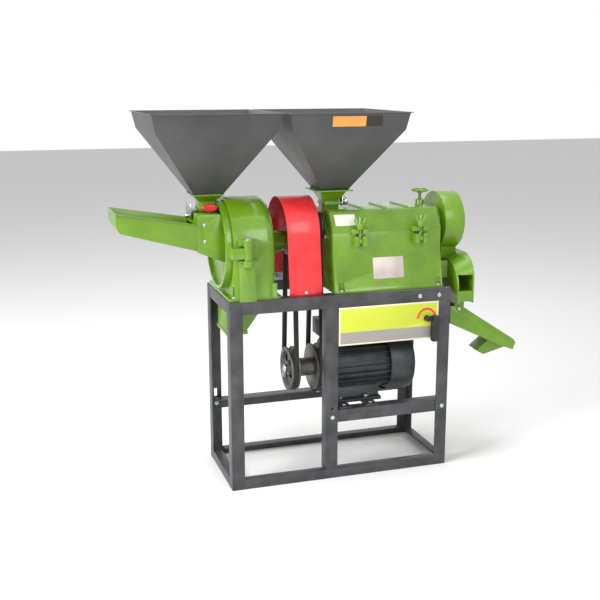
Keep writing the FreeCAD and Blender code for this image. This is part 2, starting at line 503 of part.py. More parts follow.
claw_x = DOOR_X[1] + 6.0                    # inner face of the claw plate
plate_holes = [cyl("x", M8 / 2 + 0.25, 0, claw_x + 8, y, z) for y, z in dpos]
door = drill(fuse(door), [cyl("x", INLET_R, 0, G_X0 + 1, 0, GZ), cyl("x", LATCH_R + 0.3, 0, 30, LATCH_Y, GZ),
                          cyl("z", PIN_R + RUN, LUG_Z[0][0], LUG_Z[1][1], HING_X, HING_Y)] + plate_holes)
save("grinder_door", door)
PIN_L, CLAW_R = 26.0, 4.5                  # claw length, short enough for the door to swing clear
FIXED_RINGS = ((SIEVE_R - 59.0, 6, CLAW_R), (SIEVE_R - 31.0, 8, CLAW_R))          # radius, count, claw radius
MOVING_RINGS = ((SIEVE_R - 45.0, 6, CLAW_R), (SIEVE_R - 18.0, 8, CLAW_R - 0.6))


def claws(rings, x0, x1, phase):
    """Rings of round claws standing along X; phase turns them by a share of their spacing."""
    out = []
    for r, n, radius in rings:
        steps = [2 * math.pi * (k + phase) / n for k in range(n)]
        out += [cyl("x", radius, x0, x1, r * math.cos(a), GZ + r * math.sin(a)) for a in steps]
    return out


fixed = [ring("x", DOOR_R - 18, INLET_R + 2, DOOR_X[1], claw_x, 0, GZ)]
fixed += claws(FIXED_RINGS, claw_x - 0.5, claw_x - 0.5 + PIN_L, 0.5)
save("grinder_fixed_claws", drill(fuse(fixed), plate_holes))
for y, z in dpos:
    DOOR_BOLTS += bolt("x", 1, DOOR_X[0], y, z, M8, claw_x - DOOR_X[0], nut=False)
LUG_X = (G_X0 + 38.0, G_X0 + 60.0)
DOOR_BOLTS.append(fuse([cyl("x", LATCH_R, DOOR_X[0] - 16, LUG_X[0] + 7, LATCH_Y, GZ),
                        hexprism("x", 3 * LATCH_R, DOOR_X[0] - 14, DOOR_X[0] - 4, LATCH_Y, GZ),
                        cyl("x", LATCH_R + 5, DOOR_X[0] - 4, DOOR_X[0], LATCH_Y, GZ)]))
lug = box(*LUG_X, GR - 3, GR + 22, GZ - LATCH_W, GZ + LATCH_W).cut(arch(G_X0, G_X1, GR, GZ, BASE_Z))
lug = lug.cut(cyl("x", LATCH_R + 0.4, LUG_X[0] - 1, LUG_X[0] + 10, LATCH_Y, GZ))
hinge_pin = fuse([cyl("z", PIN_R, LUG_Z[0][0], LUG_Z[1][1] + 2, HING_X, HING_Y),
                  cyl("z", PIN_R + 3, LUG_Z[1][1], LUG_Z[1][1] + 5, HING_X, HING_Y)])
save("grinder_door_fixings", [hinge_pin, lug])

# Spindle, rotor disc with claws facing the door, ring sieve round them.
DISC_X = (G_X0 + 44.0, G_X0 + 52.0)
SPIN_X = (G_X0 + 32.0, BELT1_X + SHEAVE_W)
spin = revolve_x([(SPIN_X[0], 0), (SPIN_X[1], 0), (SPIN_X[1], G_SHAFT_R - 1.5), (SPIN_X[1] - 2, G_SHAFT_R),
                  (SPIN_X[0], G_SHAFT_R)], GZ)
rotor = [spin, ring("x", SIEVE_R - 14, G_SHAFT_R, *DISC_X, 0, GZ),
         ring("x", BRG_R, G_SHAFT_R, DISC_X[0] - 10, DISC_X[1] + 22, 0, GZ)]
save("grinder_rotor", fuse(rotor + claws(MOVING_RINGS, DISC_X[0] - 24, DISC_X[0] + 1, 0.0)))
sieve = ring("x", SIEVE_R, SIEVE_R - SIEVE_T, CAV_X[0], SEAT_X, 0, GZ)
SLIT_L, SLIT_W = 28.0, 4.0
slits = [turned(box(x0, x0 + SLIT_L, -SLIT_W / 2, SLIT_W / 2, SIEVE_R - 7, SIEVE_R + 5), 20.0 * k, GZ)
         for k in range(18) for x0 in (G_X0 + 14.0, G_X0 + 50.0)]
save("grinder_sieve", drill(sieve, slits))
save("grinder_pulley", pulley(BELT1_X, GPUL_R, G_SHAFT_R, GZ))


# Outlet spout under the stand: tapered sheet duct with a folded lip at the top and a collar at the bottom.
def rect(cx, cy, hx, hy, z):
    return Part.makePolygon([V(cx - hx, cy - hy, z), V(cx + hx, cy - hy, z), V(cx + hx, cy + hy, z),
                             V(cx - hx, cy + hy, z), V(cx - hx, cy - hy, z)])


def loft(sections):
    return Part.makeLoft([rect(*s) for s in sections], True, True)


def duct(sections, t):
    """Open-ended tapered duct through (cx, cy, hx, hy, z) sections, wall t."""
    inner = [(cx, cy, hx - t, hy - t, z) for cx, cy, hx, hy, z in sections]
    shape = loft(sections).cut(loft(inner))
    for cx, cy, hx, hy, z in (inner[0], inner[-1]):
        shape = shape.cut(box(cx - hx, cx + hx, cy - hy, cy + hy, z - 1, z + 1))
    return shape


SP_X, SP_W = G_X0 + 26.0, 62.0             # spout mouth centre and half width
SP_TOP, SP_BOT, SP_COLLAR = FH - LT, FH - 114.0, 10.0
spout = duct([(SP_X + 36, 0, 57, 100, SP_TOP), (SP_X, 0, SP_W / 2, SP_W, SP_BOT),
              (SP_X, 0, SP_W / 2, SP_W, SP_BOT - SP_COLLAR)], SHEET)
sp_lip = box(LA + 0.3, G_X1 - 8, -105, 105, SP_TOP, FH).cut(box(*OUT_X, -OUT_Y, OUT_Y, SP_TOP - 1, FH + 1))
band = duct([(SP_X, 0, SP_W / 2 + 3, SP_W + 3, z) for z in (SP_BOT, SP_BOT - SP_COLLAR)], 3.0)
save("grinder_outlet_spout", fuse([spout, sp_lip, band]))

# ---------------------------------------------------------------- feed box and hand-feed tray
FEED_T = 2.0
WIN_Z = (GZ + 4.0, GZ + 69.0)              # window from the tray into the box
floor_z, back_z = BOX_Z - 112.0, (GZ - 45.0, GZ + 53.0)
box_out = [(BOX_X, floor_z), (BOX_X, BOX_Z), (DOOR_X[0] - 16, BOX_Z), (DOOR_X[0], back_z[1]), (DOOR_X[0], back_z[0])]
box_in = [(BOX_X + FEED_T, floor_z + 2.5), (BOX_X + FEED_T, BOX_Z - FEED_T), (DOOR_X[0] - 17.5, BOX_Z - FEED_T),
          (DOOR_X[0] + 1, back_z[1] - 5), (DOOR_X[0] + 1, back_z[0] + 3)]
box_shell = prism("y", box_out, -BOX_Y, BOX_Y).cut(prism("y", box_in, -BOX_Y + FEED_T, BOX_Y - FEED_T))
window = box(BOX_X - 3, BOX_X + 5, -BOX_Y + 8, BOX_Y - 8, *WIN_Z)
NECK, NECK_T = 24.5, 2.5                   # half width and wall of the square necks
NECK_IN = NECK - NECK_T
RIVET_X, RIVET_Z, RIVET_D = BOX_X + 20.0, (GZ + 24.0, GZ + 73.0), 5
rivets = [(s, z) for s in (-1, 1) for z in RIVET_Z]
TX = HOP_X[0]
feed = box_shell.cut(ring("x", DOOR_R + 0.3, DOOR_R - RIM_T - 0.3, DOOR_X[0] - 13, DOOR_X[0] + 1, 0, GZ))
feed = feed.cut(cyl("x", COLLAR_R + 0.3, DOOR_X[0] - 6.5, DOOR_X[0] + 1.5, 0, GZ))
feed = drill(feed, [box(TX - NECK_IN, TX + NECK_IN, -NECK_IN, NECK_IN, BOX_Z - 5, BOX_Z + 5), window]
             + [hole("y", s * BOX_Y, RIVET_X, z, RIVET_D, 5) for s, z in rivets])
save("feed_box", largest(feed))

TY = BOX_Y - 1.0
lip_z = (BOX_Z + 13.0, BOX_Z - 27.0)       # tray edge: outer end, at the box
tray_out = [(TRAY_X, lip_z[0]), (TRAY_X, lip_z[0] - 35), (TRAY_X + 3, lip_z[0] - 47), (TRAY_X + 12, lip_z[0] - 58),
            (BOX_X, floor_z + 4), (BOX_X, lip_z[1])]
tray_in = [(TRAY_X + SHEET, lip_z[0] + 2), (TRAY_X + SHEET, lip_z[0] - 34), (TRAY_X + 4.3, lip_z[0] - 46),
           (TRAY_X + 12.8, lip_z[0] - 56.4), (BOX_X + 1, floor_z + 5.6), (BOX_X + 1, lip_z[1] + 2)]
tray = [prism("y", tray_out, -TY, TY).cut(prism("y", tray_in, -TY + SHEET, TY - SHEET)),
        box(TRAY_X - 3, TRAY_X + SHEET, -TY - 5, TY + 5, lip_z[0] - 2.5, lip_z[0] - 0.5)]
edge = [(TRAY_X, lip_z[0]), (BOX_X - 1, lip_z[1]), (BOX_X - 1, lip_z[1] - 2), (TRAY_X, lip_z[0] - 2)]
for s in (-1, 1):
    tab_in = BOX_Y - FEED_T - SHEET        # the side tabs lie inside the box walls, held by two rivets each side
    tray.append(prism("y", edge, *both(s, TY - SHEET, TY + 5)))
    tray.append(box(BOX_X - 0.1, BOX_X + 34, *both(s, tab_in, BOX_Y - FEED_T), floor_z + 18, lip_z[1] + 7))
    tray.append(box(BOX_X - 6, BOX_X, *both(s, tab_in, TY), floor_z + 18, lip_z[1] - 5))
tray = drill(fuse(tray), [hole("y", s * BOX_Y, RIVET_X, z, RIVET_D, 8) for s, z in rivets])
save("feed_tray", largest(tray.cut(box_shell.cut(window))))
for s, z in rivets:
    DOOR_BOLTS.append(fuse([cyl("y", RIVET_D / 2, *both(s, BOX_Y - FEED_T - SHEET - 1, BOX_Y), RIVET_X, z),
                            cyl("y", RIVET_D, *both(s, BOX_Y, BOX_Y + 2.2), RIVET_X, z)]))

# ---------------------------------------------------------------- throats and slide gates
GATE_T, GATE_CLR = 3.0, 0.4
THROAT_TOP = HOP_BOT - 1.0
GATE_W = NECK + 6.0                        # half width of the gate plate
FLANGE_T = 4.0
GATE_GZ, GATE_HZ = BOX_Z + 8.0, TOP_Z + 16.0    # gate heights: grinder, mill
HTX = HOP_X[1] - 2.0


def throat(cx, z_base, z_slot, z_flare, flange_half, side):
    """Square funnel on a neck, with a flange under the hopper and a slot for the slide gate."""
    zf = THROAT_TOP - FLANGE_T
    guide = NECK + 9.0
    rim = box(cx - flange_half, cx + flange_half, -flange_half, flange_half, zf, THROAT_TOP)
    slide = box(cx - NECK - 1, cx + NECK + 1, -guide, guide, z_slot - 3.5, z_slot + GATE_T + 3.5)
    hollow = box(cx - NECK_IN, cx + NECK_IN, -NECK_IN, NECK_IN, z_slot - 9, z_slot + 12)
    x_in, x_out = cx - side * (NECK - 1.0), cx + side * (NECK + 12.0)
    slot = box(min(x_in, x_out), max(x_in, x_out), -GATE_W - GATE_CLR, GATE_W + GATE_CLR,
               z_slot - GATE_CLR, z_slot + GATE_T + GATE_CLR)
    funnel = duct([(cx, 0, NECK, NECK, z_base), (cx, 0, NECK, NECK, z_flare), (cx, 0, 44, 46, zf)], NECK_T)
    rim = rim.cut(box(cx - 41.5, cx + 41.5, -43.5, 43.5, zf - 1, THROAT_TOP + 1))
    return fuse([funnel, rim, slide.cut(hollow)]).cut(slot)


LOCK_R, LOCK_Z = 4.0, GATE_GZ + 8.5
th = throat(TX, BOX_Z, GATE_GZ, GZ + DOOR_R - 1.0, 47.0, -1)
lock_pad = box(TX - 10, TX + 10, -NECK - 16, -NECK - 1, GATE_GZ + GATE_T + GATE_CLR, GATE_GZ + GATE_T + 14)
save("grinder_throat", fuse([th, lock_pad]).cut(cyl("y", LOCK_R + RUN, -60, -NECK - 6, TX, LOCK_Z)))
mt = throat(HTX, TOP_Z, GATE_HZ, GATE_HZ + 9.0, 60.0, 1)
save("mill_throat", mt)


def gate(cx, z, side, tab_x, tab_z0, tab_z1, half):
    """Slide gate: plate that closes the neck, with an upright tab to pull it by."""
    x_in, tab_end = cx - side * (NECK - 2.0), tab_x + side * GATE_T
    return fuse([box(min(x_in, tab_end), max(x_in, tab_end), -GATE_W, GATE_W, z, z + GATE_T),
                 box(min(tab_x, tab_end), max(tab_x, tab_end), -half, half, tab_z0, tab_z1)])


def round_knob(x0, side, r, length, y, z):
    """Turned knob whose foot stands at x0 and whose head points to side."""
    a = [(0, 0), (0, 0.55), (0.25, 0.62), (0.4, 0.95), (0.7, 1), (0.92, 0.75), (1, 0.3), (1, 0)]
    s = revolve_x([(x0 + side * u * length, v * r) for u, v in a], z, y)
    return s if s.Volume > 0 else s.reversed()


TAB_G, TAB_H = BOX_X - 7.0, HTX + NECK + 11.0
save("grinder_gate", [gate(TX, GATE_GZ, -1, TAB_G, GATE_GZ - 28, GATE_GZ + 20, 32.0),
                      round_knob(TAB_G - GATE_T, -1, 8.0, 14.0, -18.0, GATE_GZ - 17)])
save("mill_gate", [gate(HTX, GATE_HZ, 1, TAB_H, GATE_HZ - 8, GATE_HZ + 22, 28.0),
                   round_knob(TAB_H + GATE_T, 1, 14.0, 26.0, 0.0, GATE_HZ + 4),
                   round_knob(TAB_H + GATE_T, 1, 6.0, 10.0, -21.0, GATE_HZ + 15)])

OVAL, OVAL_T = (23.5, 12.0), 18.0          # lock knob half axes and thickness
oval_y = -NECK - 24.0
oval = Part.Wire(Part.Ellipse(V(TX, oval_y, LOCK_Z), *OVAL).toShape())
oval.rotate(V(TX, oval_y, LOCK_Z), V(1, 0, 0), 90)
knob = Part.Face(oval).extrude(V(0, -OVAL_T, 0))
knob = knob.makeFillet(5.0, knob.Edges)
save("grinder_gate_lock", fuse([knob, cyl("y", LOCK_R, oval_y - 2, -NECK - 7, TX, LOCK_Z),
                                cyl("y", 2 * LOCK_R, oval_y - 1, -NECK - 16.5, TX, LOCK_Z)]))


# ---------------------------------------------------------------- hoppers
def hopper(cx):
    """Folded sheet hopper: steep bin on a funnel, flat rim lip outside, narrow foot flange."""
    def shell(off):
        return loft([(cx, 0, BOT[0] - off, BOT[1] - off, HOP_BOT), (cx, 0, BEND[0] - off, BEND[1] - off, HOP_BEND),
                     (cx, 0, RIM[0] - LIP - off, RIM[1] - LIP - off, HOP_TOP)])

    rim_in = (RIM[0] - LIP - 1.0, RIM[1] - LIP - 1.0)
    lip = box(cx - RIM[0], cx + RIM[0], -RIM[1], RIM[1], HOP_TOP - 2, HOP_TOP)
    lip = lip.cut(box(cx - rim_in[0], cx + rim_in[0], -rim_in[1], rim_in[1], HOP_TOP - 3, HOP_TOP + 1))
    foot = box(cx - BOT[0] - 3, cx + BOT[0] + 3, -BOT[1] + 2, BOT[1] - 2, HOP_BOT - 1, HOP_BOT + 0.6)
    foot = foot.cut(box(cx - BOT[0] + 2, cx + BOT[0] - 2, -BOT[1] + 3, BOT[1] - 3, HOP_BOT - 3, HOP_BOT + 2))
    return fuse([shell(0).cut(shell(SHEET)), lip, foot])


save("grinder_hopper", hopper(HOP_X[0]))
save("mill_hopper", hopper(HOP_X[1]))
LABEL_T = 0.6


def sticker(y_of, x0, x1, z0, z1, t=LABEL_T):
    """Flat label or plate on a sloping front face whose line y_of(z) gives."""
    return prism("x", [(y_of(z0), z0), (y_of(z1), z1), (y_of(z1) - t, z1), (y_of(z0) - t, z0)], x0, x1)


def line(y0, z0, y1, z1):
    """Front face as a function of height, through two (y, z) points."""
    return lambda z: y0 + (y1 - y0) * (z - z0) / (z1 - z0)


hopper_front = line(-BEND[1], HOP_BEND, -RIM[1] + LIP, HOP_TOP)
LABELS.append(sticker(hopper_front, HOP_X[1] - 58, HOP_X[1] + 98, HOP_BEND + 12, HOP_BEND + 42))

# ---------------------------------------------------------------- milling chamber
BEVEL_Z = PART_Z + 8.0                     # where the cover starts to slope in


def skirt(t, x0, x1, top=PART_Z, low=BASE_Z - 1):
    """Section of the lower body, drawn in by t: upright waist over a flared skirt."""
    half = [(W_BASE - t, low), (W_MID - t, FOLD_Z), (W_MID - t, top)]
    return prism("x", [(-y, z) for y, z in half] + half[::-1], x0, x1)


def dome(t, x0, x1, low):
    """Section of the cover, drawn in by t."""
    half = [(W_MID - t, low), (W_MID - t, BEVEL_Z - 0.4 * t), (W_TOP - 0.6 * t, TOP_Z - 4 - t),
            (W_TOP - 10 - 0.3 * t, TOP_Z - t)]
    return prism("x", [(-y, z) for y, z in half] + half[::-1], x0, x1)


FORK_X = (H_X0 + 84.0, H_X1 - 76.0)        # clamps along the joint
FORK_Y, PIVOT_Z = 126.0, HULL_Z - 36.0
BOLT_R = 4.9                               # swing bolt
ends = ((H_X0 - 1, H_X0 + END_T + 1), (H_X1 - END_T - 1, H_X1 + 1))     # both end walls, with cutting margin
clamp_at = [(s, x) for s in (-1, 1) for x in FORK_X]
foot = box(H_X0 - 1, H_X1 + 7, -W_BASE - 3, W_BASE + 3, FH, BASE_Z)
foot = foot.makeFillet(12.0, upright_edges(foot))
body = fuse([skirt(0, H_X0, H_X1), foot])
body = body.cut(skirt(H_WALL, H_X0 + END_T, H_X1 - END_T, PART_Z + 1, BASE_Z + 8))
PAD_R, PAD_Z = 9.0, BASE_Z + 26.0          # bolt pockets in the skirt corners
outer = skirt(0, H_X0, H_X1)
pads = [cyl("z", PAD_R + 4, BASE_Z, PAD_Z + 4, x, y).common(outer) for x, y in MILL_BOLTS]
body = fuse([body] + pads)
DUCT_Y, DUCT_Z, DUCT_T = (-62.0, 38.0), (FH + 12.0, FH + 68.0), 2.0     # duct from the mill to the hood
duct_in = (DUCT_Y[0] + DUCT_T, DUCT_Y[1] - DUCT_T, DUCT_Z[0] + DUCT_T, DUCT_Z[1] - DUCT_T)
HOUS_R = BRG_R + 5.0                       # bearing housing
HOUS_BOLTS = [(s * 56.0, PART_Z - 16.0) for s in (-1, 1)]
tools = [box(H_X1 - END_T - 1, H_X1 + 1, *duct_in)]
for x0, x1 in ends:
    tools.append(cyl("x", HOUS_R + 0.35, x0, x1, 0, HULL_Z))
    tools += [cyl("x", M8 / 2 + 0.25, x0, x1, y, z) for y, z in HOUS_BOLTS]
for x, y in MILL_BOLTS:
    tools += [cyl("z", PAD_R, BASE_Z, PAD_Z, x, y), hole("z", BASE_Z, x, y, MILL_D)]
save("mill_body", drill(body, tools))
for x, y in MILL_BOLTS:
    BOLTS += bolt("z", -1, BASE_Z, x, y, MILL_D, BASE_Z - FH + LT)
MILL_MID = (H_X0 + H_X1) / 2
skirt_front = line(-W_BASE, BASE_Z - 1, -W_MID, FOLD_Z)
save("mill_nameplate", sticker(skirt_front, MILL_MID - 52, MILL_MID + 51, FH + 38, FH + 104, 1.0))

# Bearing housings stand in the end walls; the cover closes over their upper halves.
HOUS_L, HOUS_T = 33.0, 3.5                 # reach into the chamber, flange thickness
flange_line = [(-76, -36), (-76, -20), (-34, 34), (-16, 42), (16, 42), (34, 34), (76, -20), (76, -36),
               (34, -44), (-34, -44)]
housings = []
for wall, s in ((H_X0, 1), (H_X1, -1)):    # s points into the chamber
    face = wall - s * HOUS_T
    x0, x1 = min(face, wall + s * HOUS_L), max(face, wall + s * HOUS_L)
    flange = prism("x", [(y, HULL_Z + z) for y, z in flange_line], min(face, wall), max(face, wall))
    brg0 = wall + s * (HOUS_L - 8)         # inner end of the bearing seat
    brg1 = brg0 - s * BRG_W
    end = face
    shape = fuse([cyl("x", HOUS_R, x0, x1, 0, HULL_Z), flange])
    shape = drill(shape, [cyl("x", H_SHAFT_R + 1, x0 - 1, x1 + 1, 0, HULL_Z),
                          cyl("x", BRG_R, min(brg0, end - s), max(brg0, end - s), 0, HULL_Z)]
                  + [cyl("x", M8 / 2 + 0.25, min(face, wall) - 1, max(face, wall) + 1, y, z) for y, z in HOUS_BOLTS])
    housings.append(shape)
    BEARINGS.append(ring("x", BRG_R, H_SHAFT_R + RUN, min(brg0, brg1), max(brg0, brg1), 0, HULL_Z))
    BEARINGS.append(ring("x", BRG_R, H_SHAFT_R + 0.6, min(brg1, end), max(brg1, end), 0, HULL_Z))     # seal ring
    for y, z in HOUS_BOLTS:
        BOLTS += bolt("x", s, face, y, z, M8, HOUS_T + END_T)
save("mill_bearing_housings", housings)

# Cover: bevelled lid with cross ribs, throat and hand wheel holes.
WHEEL_X = H_X1 - 24.0
STEM_R = 5.0
gap = 0.5                                  # the cover is this much shorter than the body at each end
parts = [dome(0, H_X0 + gap, H_X1 - gap, PART_Z), cyl("z", 14.0, TOP_Z - 4, TOP_Z + 16, WHEEL_X, 0)]
for k in (-1, 0, 1):
    rib_x = MILL_MID + 9.0 + 75.0 * k
    parts.append(box(rib_x - 5, rib_x + 5, -W_TOP + 12, W_TOP - 12, TOP_Z - 3, TOP_Z + 5))
cover = fuse(parts).cut(dome(H_WALL, H_X0 + gap + END_T, H_X1 - gap - END_T, PART_Z - 1))
tools = [box(HTX - NECK_IN, HTX + NECK_IN, -NECK_IN, NECK_IN, TOP_Z - 12, TOP_Z + 4),
         cyl("z", STEM_R + RUN, TOP_Z - 12, TOP_Z + 20, WHEEL_X, 0)]
for x0, x1 in ends:
    tools += [cyl("x", HOUS_R + 0.35, x0, x1, 0, HULL_Z),
              box(x0, x1, -HOUS_R - 0.35, HOUS_R + 0.35, PART_Z - 1, HULL_Z)]
save("mill_cover", drill(cover, tools))
cover_front = line(-W_MID, BEVEL_Z, -W_TOP, TOP_Z - 4)
LABELS.append(sticker(cover_front, H_X0 + 13, H_X0 + 81, TOP_Z - 44, TOP_Z - 12))

# Clamp lugs: a pair of drilled plates on the body for each pivot, a slotted ear on the cover above it.
PIN_D, SLOT_HALF = 4.0, 6.4                # pivot pin radius, half the gap between the plates
LUG_OUT, LUG_W = FORK_Y + 12.0, 20.5
EAR_Z, EAR_Y, EAR_W = (PART_Z, PART_Z + 12.0), FORK_Y + 8.0, 29.0
lid = dome(0, H_X0 + gap, H_X1 - gap, PART_Z)
lugs = []
for s, x in clamp_at:
    for a, b in ((x - LUG_W, x - SLOT_HALF), (x + SLOT_HALF, x + LUG_W)):
        plate = box(a, b, *both(s, W_MID, LUG_OUT), PIVOT_Z - 15, PIVOT_Z + 15)
        lugs.append(plate.cut(cyl("x", PIN_D, a - 1, b + 1, s * FORK_Y, PIVOT_Z)))
    ear = box(x - EAR_W, x + EAR_W, *both(s, W_MID - 6, EAR_Y), *EAR_Z)
    ear = ear.makeFillet(8.0, [e for e in upright_edges(ear) if abs(e.Vertexes[0].Y) > EAR_Y - 1]).cut(lid)
    slot = box(x - SLOT_HALF, x + SLOT_HALF, *both(s, FORK_Y - 7.5, LUG_OUT), EAR_Z[0] - 1, EAR_Z[1] + 1)
    lugs.append(ear.cut(slot))
save("clamp_lugs", lugs)

# Swing bolts and wing nuts on the front, plain studs with nuts at the rear.
NUT_Z = EAR_Z[1] + 1.3
BOLT_TOP = PIVOT_Z + 74.0
WING = [(6, 4), (20, 24), (20, 34), (13, 34), (4, 17)]     # right half of the two wings, up from the nut's foot
for side, x in zip(("left", "right"), FORK_X):
    eye = ring("x", 10.0, PIN_D + RUN, x - 6, x + 6, -FORK_Y, PIVOT_Z)
    save("swing_bolt_%s" % side, fuse([eye, cyl("z", BOLT_R, PIVOT_Z + 8, BOLT_TOP, x, -FORK_Y)]))
    outline = [(x + u, NUT_Z + w) for u, w in WING] + [(x - u, NUT_Z + w) for u, w in WING[::-1]]
    nut = fuse([cyl("z", 11.5, NUT_Z, NUT_Z + 17, x, -FORK_Y), prism("y", outline, -FORK_Y - 3, -FORK_Y + 3)])
    save("wing_nut_%s" % side, nut.cut(cyl("z", BOLT_R + RUN, NUT_Z - 1, NUT_Z + 40, x, -FORK_Y)))
pins = [cyl("x", PIN_D, x - LUG_W - 1.5, x + LUG_W + 1.5, -FORK_Y, PIVOT_Z) for x in FORK_X]
for x in FORK_X:
    pins.append(fuse([cyl("x", PIN_D, x - LUG_W - 1.5, x + LUG_W + 1.5, FORK_Y, PIVOT_Z),
                      box(x - 6, x + 6, FORK_Y - 5, FORK_Y + 5, PIVOT_Z - 8, PIVOT_Z + 8),
                      cyl("z", STEM_R, PIVOT_Z, BOLT_TOP - 12, x, FORK_Y),
                      hexprism("z", 17.0, EAR_Z[1], EAR_Z[1] + 9, x, FORK_Y)]))
save("clamp_pins", pins)

# Mill shaft with feed screw and ribbed milling roller, half-round screen under it.
ROLL_X = (H_X0 + 101.0, H_X1 - 63.0)
SCREW_X = (H_X0 + 37.0, ROLL_X[0])
x0, x1 = BELT2_X - 18.0, D_X1 - 8.0
save("mill_shaft", revolve_x([(x0, 0), (x1, 0), (x1, H_SHAFT_R - 2), (x1 - 2, H_SHAFT_R), (x0 + 2, H_SHAFT_R),
                              (x0, H_SHAFT_R - 2)], HULL_Z))


def rib(x0, x1, r0, r1, w, a0, twist):
    """One helical rib: a flat section swept round the shaft line in four steps."""
    sections = []
    for k in range(5):
        x = x0 + (x1 - x0) * k / 4
        a = math.radians(a0 + twist * k / 4)
        c, s = math.cos(a), math.sin(a)
        corners = [(-w / 2, r0), (w / 2, r0), (w / 2, r1), (-w / 2, r1)]
        ps = [V(x, u * c - v * s, HULL_Z + u * s + v * c) for u, v in corners]
        sections.append(Part.makePolygon(ps + [ps[0]]))
    return Part.makeLoft(sections, True, False)


roll = [ring("x", ROLL_R - 5, H_SHAFT_R, *ROLL_X, 0, HULL_Z),
        ring("x", 24.0, H_SHAFT_R, SCREW_X[0], ROLL_X[0] + 1, 0, HULL_Z)]
roll += [rib(ROLL_X[0], ROLL_X[1] - 0.5, ROLL_R - 8, ROLL_R, 7.0, 90.0 * k, 40.0) for k in range(4)]
roll += [rib(SCREW_X[0] + 1, ROLL_X[0] + 2, 20.0, ROLL_R - 3, 6.0, 120.0 * k, 150.0) for k in range(3)]
save("milling_roller", fuse(roll))

SCR_T, SCR_X = 2.0, (ROLL_X[0] - 4.0, H_X1 - 42.0)
PERF_L, PERF_W = 34.0, 3.2                 # slots of the screen
WING_Z = (HULL_Z - 16.0, HULL_Z - 12.0)
screen = ring("x", SCREEN_R + SCR_T, SCREEN_R, *SCR_X, 0, HULL_Z)
screen = screen.cut(box(SCR_X[0] - 1, SCR_X[1] + 1, -60, 60, HULL_Z - 6, HULL_Z + 60))
perf = [turned(box(x, x + PERF_L, -PERF_W / 2, PERF_W / 2, -SCREEN_R - 4, -SCREEN_R + 4), 17.0 * k, HULL_Z)
        for k in range(-4, 5) for x in (ROLL_X[0] + 12 + 54.0 * n for n in range(4))]
shelf = [box(*SCR_X, *both(s, SCREEN_R - 0.6, W_MID - H_WALL), *WING_Z) for s in (-1, 1)]
dam = box(SCR_X[0], SCR_X[0] + 3, -W_MID + H_WALL, W_MID - H_WALL, HULL_Z - 60, WING_Z[1])
dam = dam.cut(cyl("x", SCREEN_R, SCR_X[0] - 2, SCR_X[0] + 6, 0, HULL_Z))
save("mill_screen", fuse([drill(screen, perf), dam] + shelf))
save("mill_pulley", pulley(BELT2_X, HPUL_R, H_SHAFT_R, HULL_Z))

# Hand wheel on a threaded spindle; it lifts the flow plate in front of the outlet.
WHEEL_Z, WHEEL_R = TOP_Z + 46.0, 25.0
stem = [cyl("z", STEM_R, HULL_Z + HOUS_R + 1, WHEEL_Z - 7, WHEEL_X, 0),
        cyl("z", 10.0, WHEEL_Z - 9, WHEEL_Z + 6, WHEEL_X, 0), cyl("z", 7.0, TOP_Z + 16.6, TOP_Z + 20.6, WHEEL_X, 0),
        Part.makeTorus(WHEEL_R, 4.0, V(WHEEL_X, 0, WHEEL_Z))]
for k in range(3):
    spoke = turned(box(6, WHEEL_R - 1, -3.5, 3.5, WHEEL_Z - 3, WHEEL_Z + 3), 120.0 * k + 30, 0, V(0, 0, 1))
    spoke.translate(V(WHEEL_X, 0, 0))
    stem.append(spoke)
save("mill_handwheel", fuse(stem))
REG_Z = HULL_Z + HOUS_R + 3.5              # underside of the regulator, clear of the bearing housing
GATE_X = (ROLL_X[1] + 8.0, ROLL_X[1] + 14.0)
reg = fuse([cyl("z", 9.0, REG_Z, REG_Z + 7, WHEEL_X, 0), box(GATE_X[0], WHEEL_X, -7, 7, REG_Z, REG_Z + 5),
            box(*GATE_X, -30, 30, HULL_Z + 1, REG_Z + 7)])
save("flow_regulator", drill(reg, [cyl("x", H_SHAFT_R + 3, GATE_X[0] - 1, GATE_X[1] + 1, 0, HULL_Z),
                                   cyl("z", STEM_R + RUN, REG_Z - 1, REG_Z + 9, WHEEL_X, 0)]))

# ---------------------------------------------------------------- blower, discharge hood and chute
HOOD_X, HOOD_T = (D_X0 + 27.0, D_X0 + 84.0), 2.0
HOOD_LOW, HOOD_REAR = FH - 62.0, 40.0
HOOD_IN = (HOOD_X[0] + HOOD_T, HOOD_X[1] - HOOD_T)


def hood_wire(x, grow, cy, cz, a, b):
    """Hood side outline: upright front, quarter-ellipse shoulder, flat top and upright rear."""
    a, b, rear = a - grow, b - grow, HOOD_REAR - grow
    p0, p1, p2 = V(x, cy - a, HOOD_LOW), V(x, cy - a, cz), V(x, cy, cz + b)
    m = V(x, cy - a * math.sqrt(0.5), cz + b * math.sqrt(0.5))
    p3, p4 = V(x, rear, cz + b), V(x, rear, HOOD_LOW)
    return Part.Wire([Part.makeLine(p0, p1), Part.Arc(p1, m, p2).toShape(), Part.makeLine(p2, p3),
                      Part.makeLine(p3, p4), Part.makeLine(p4, p0)])


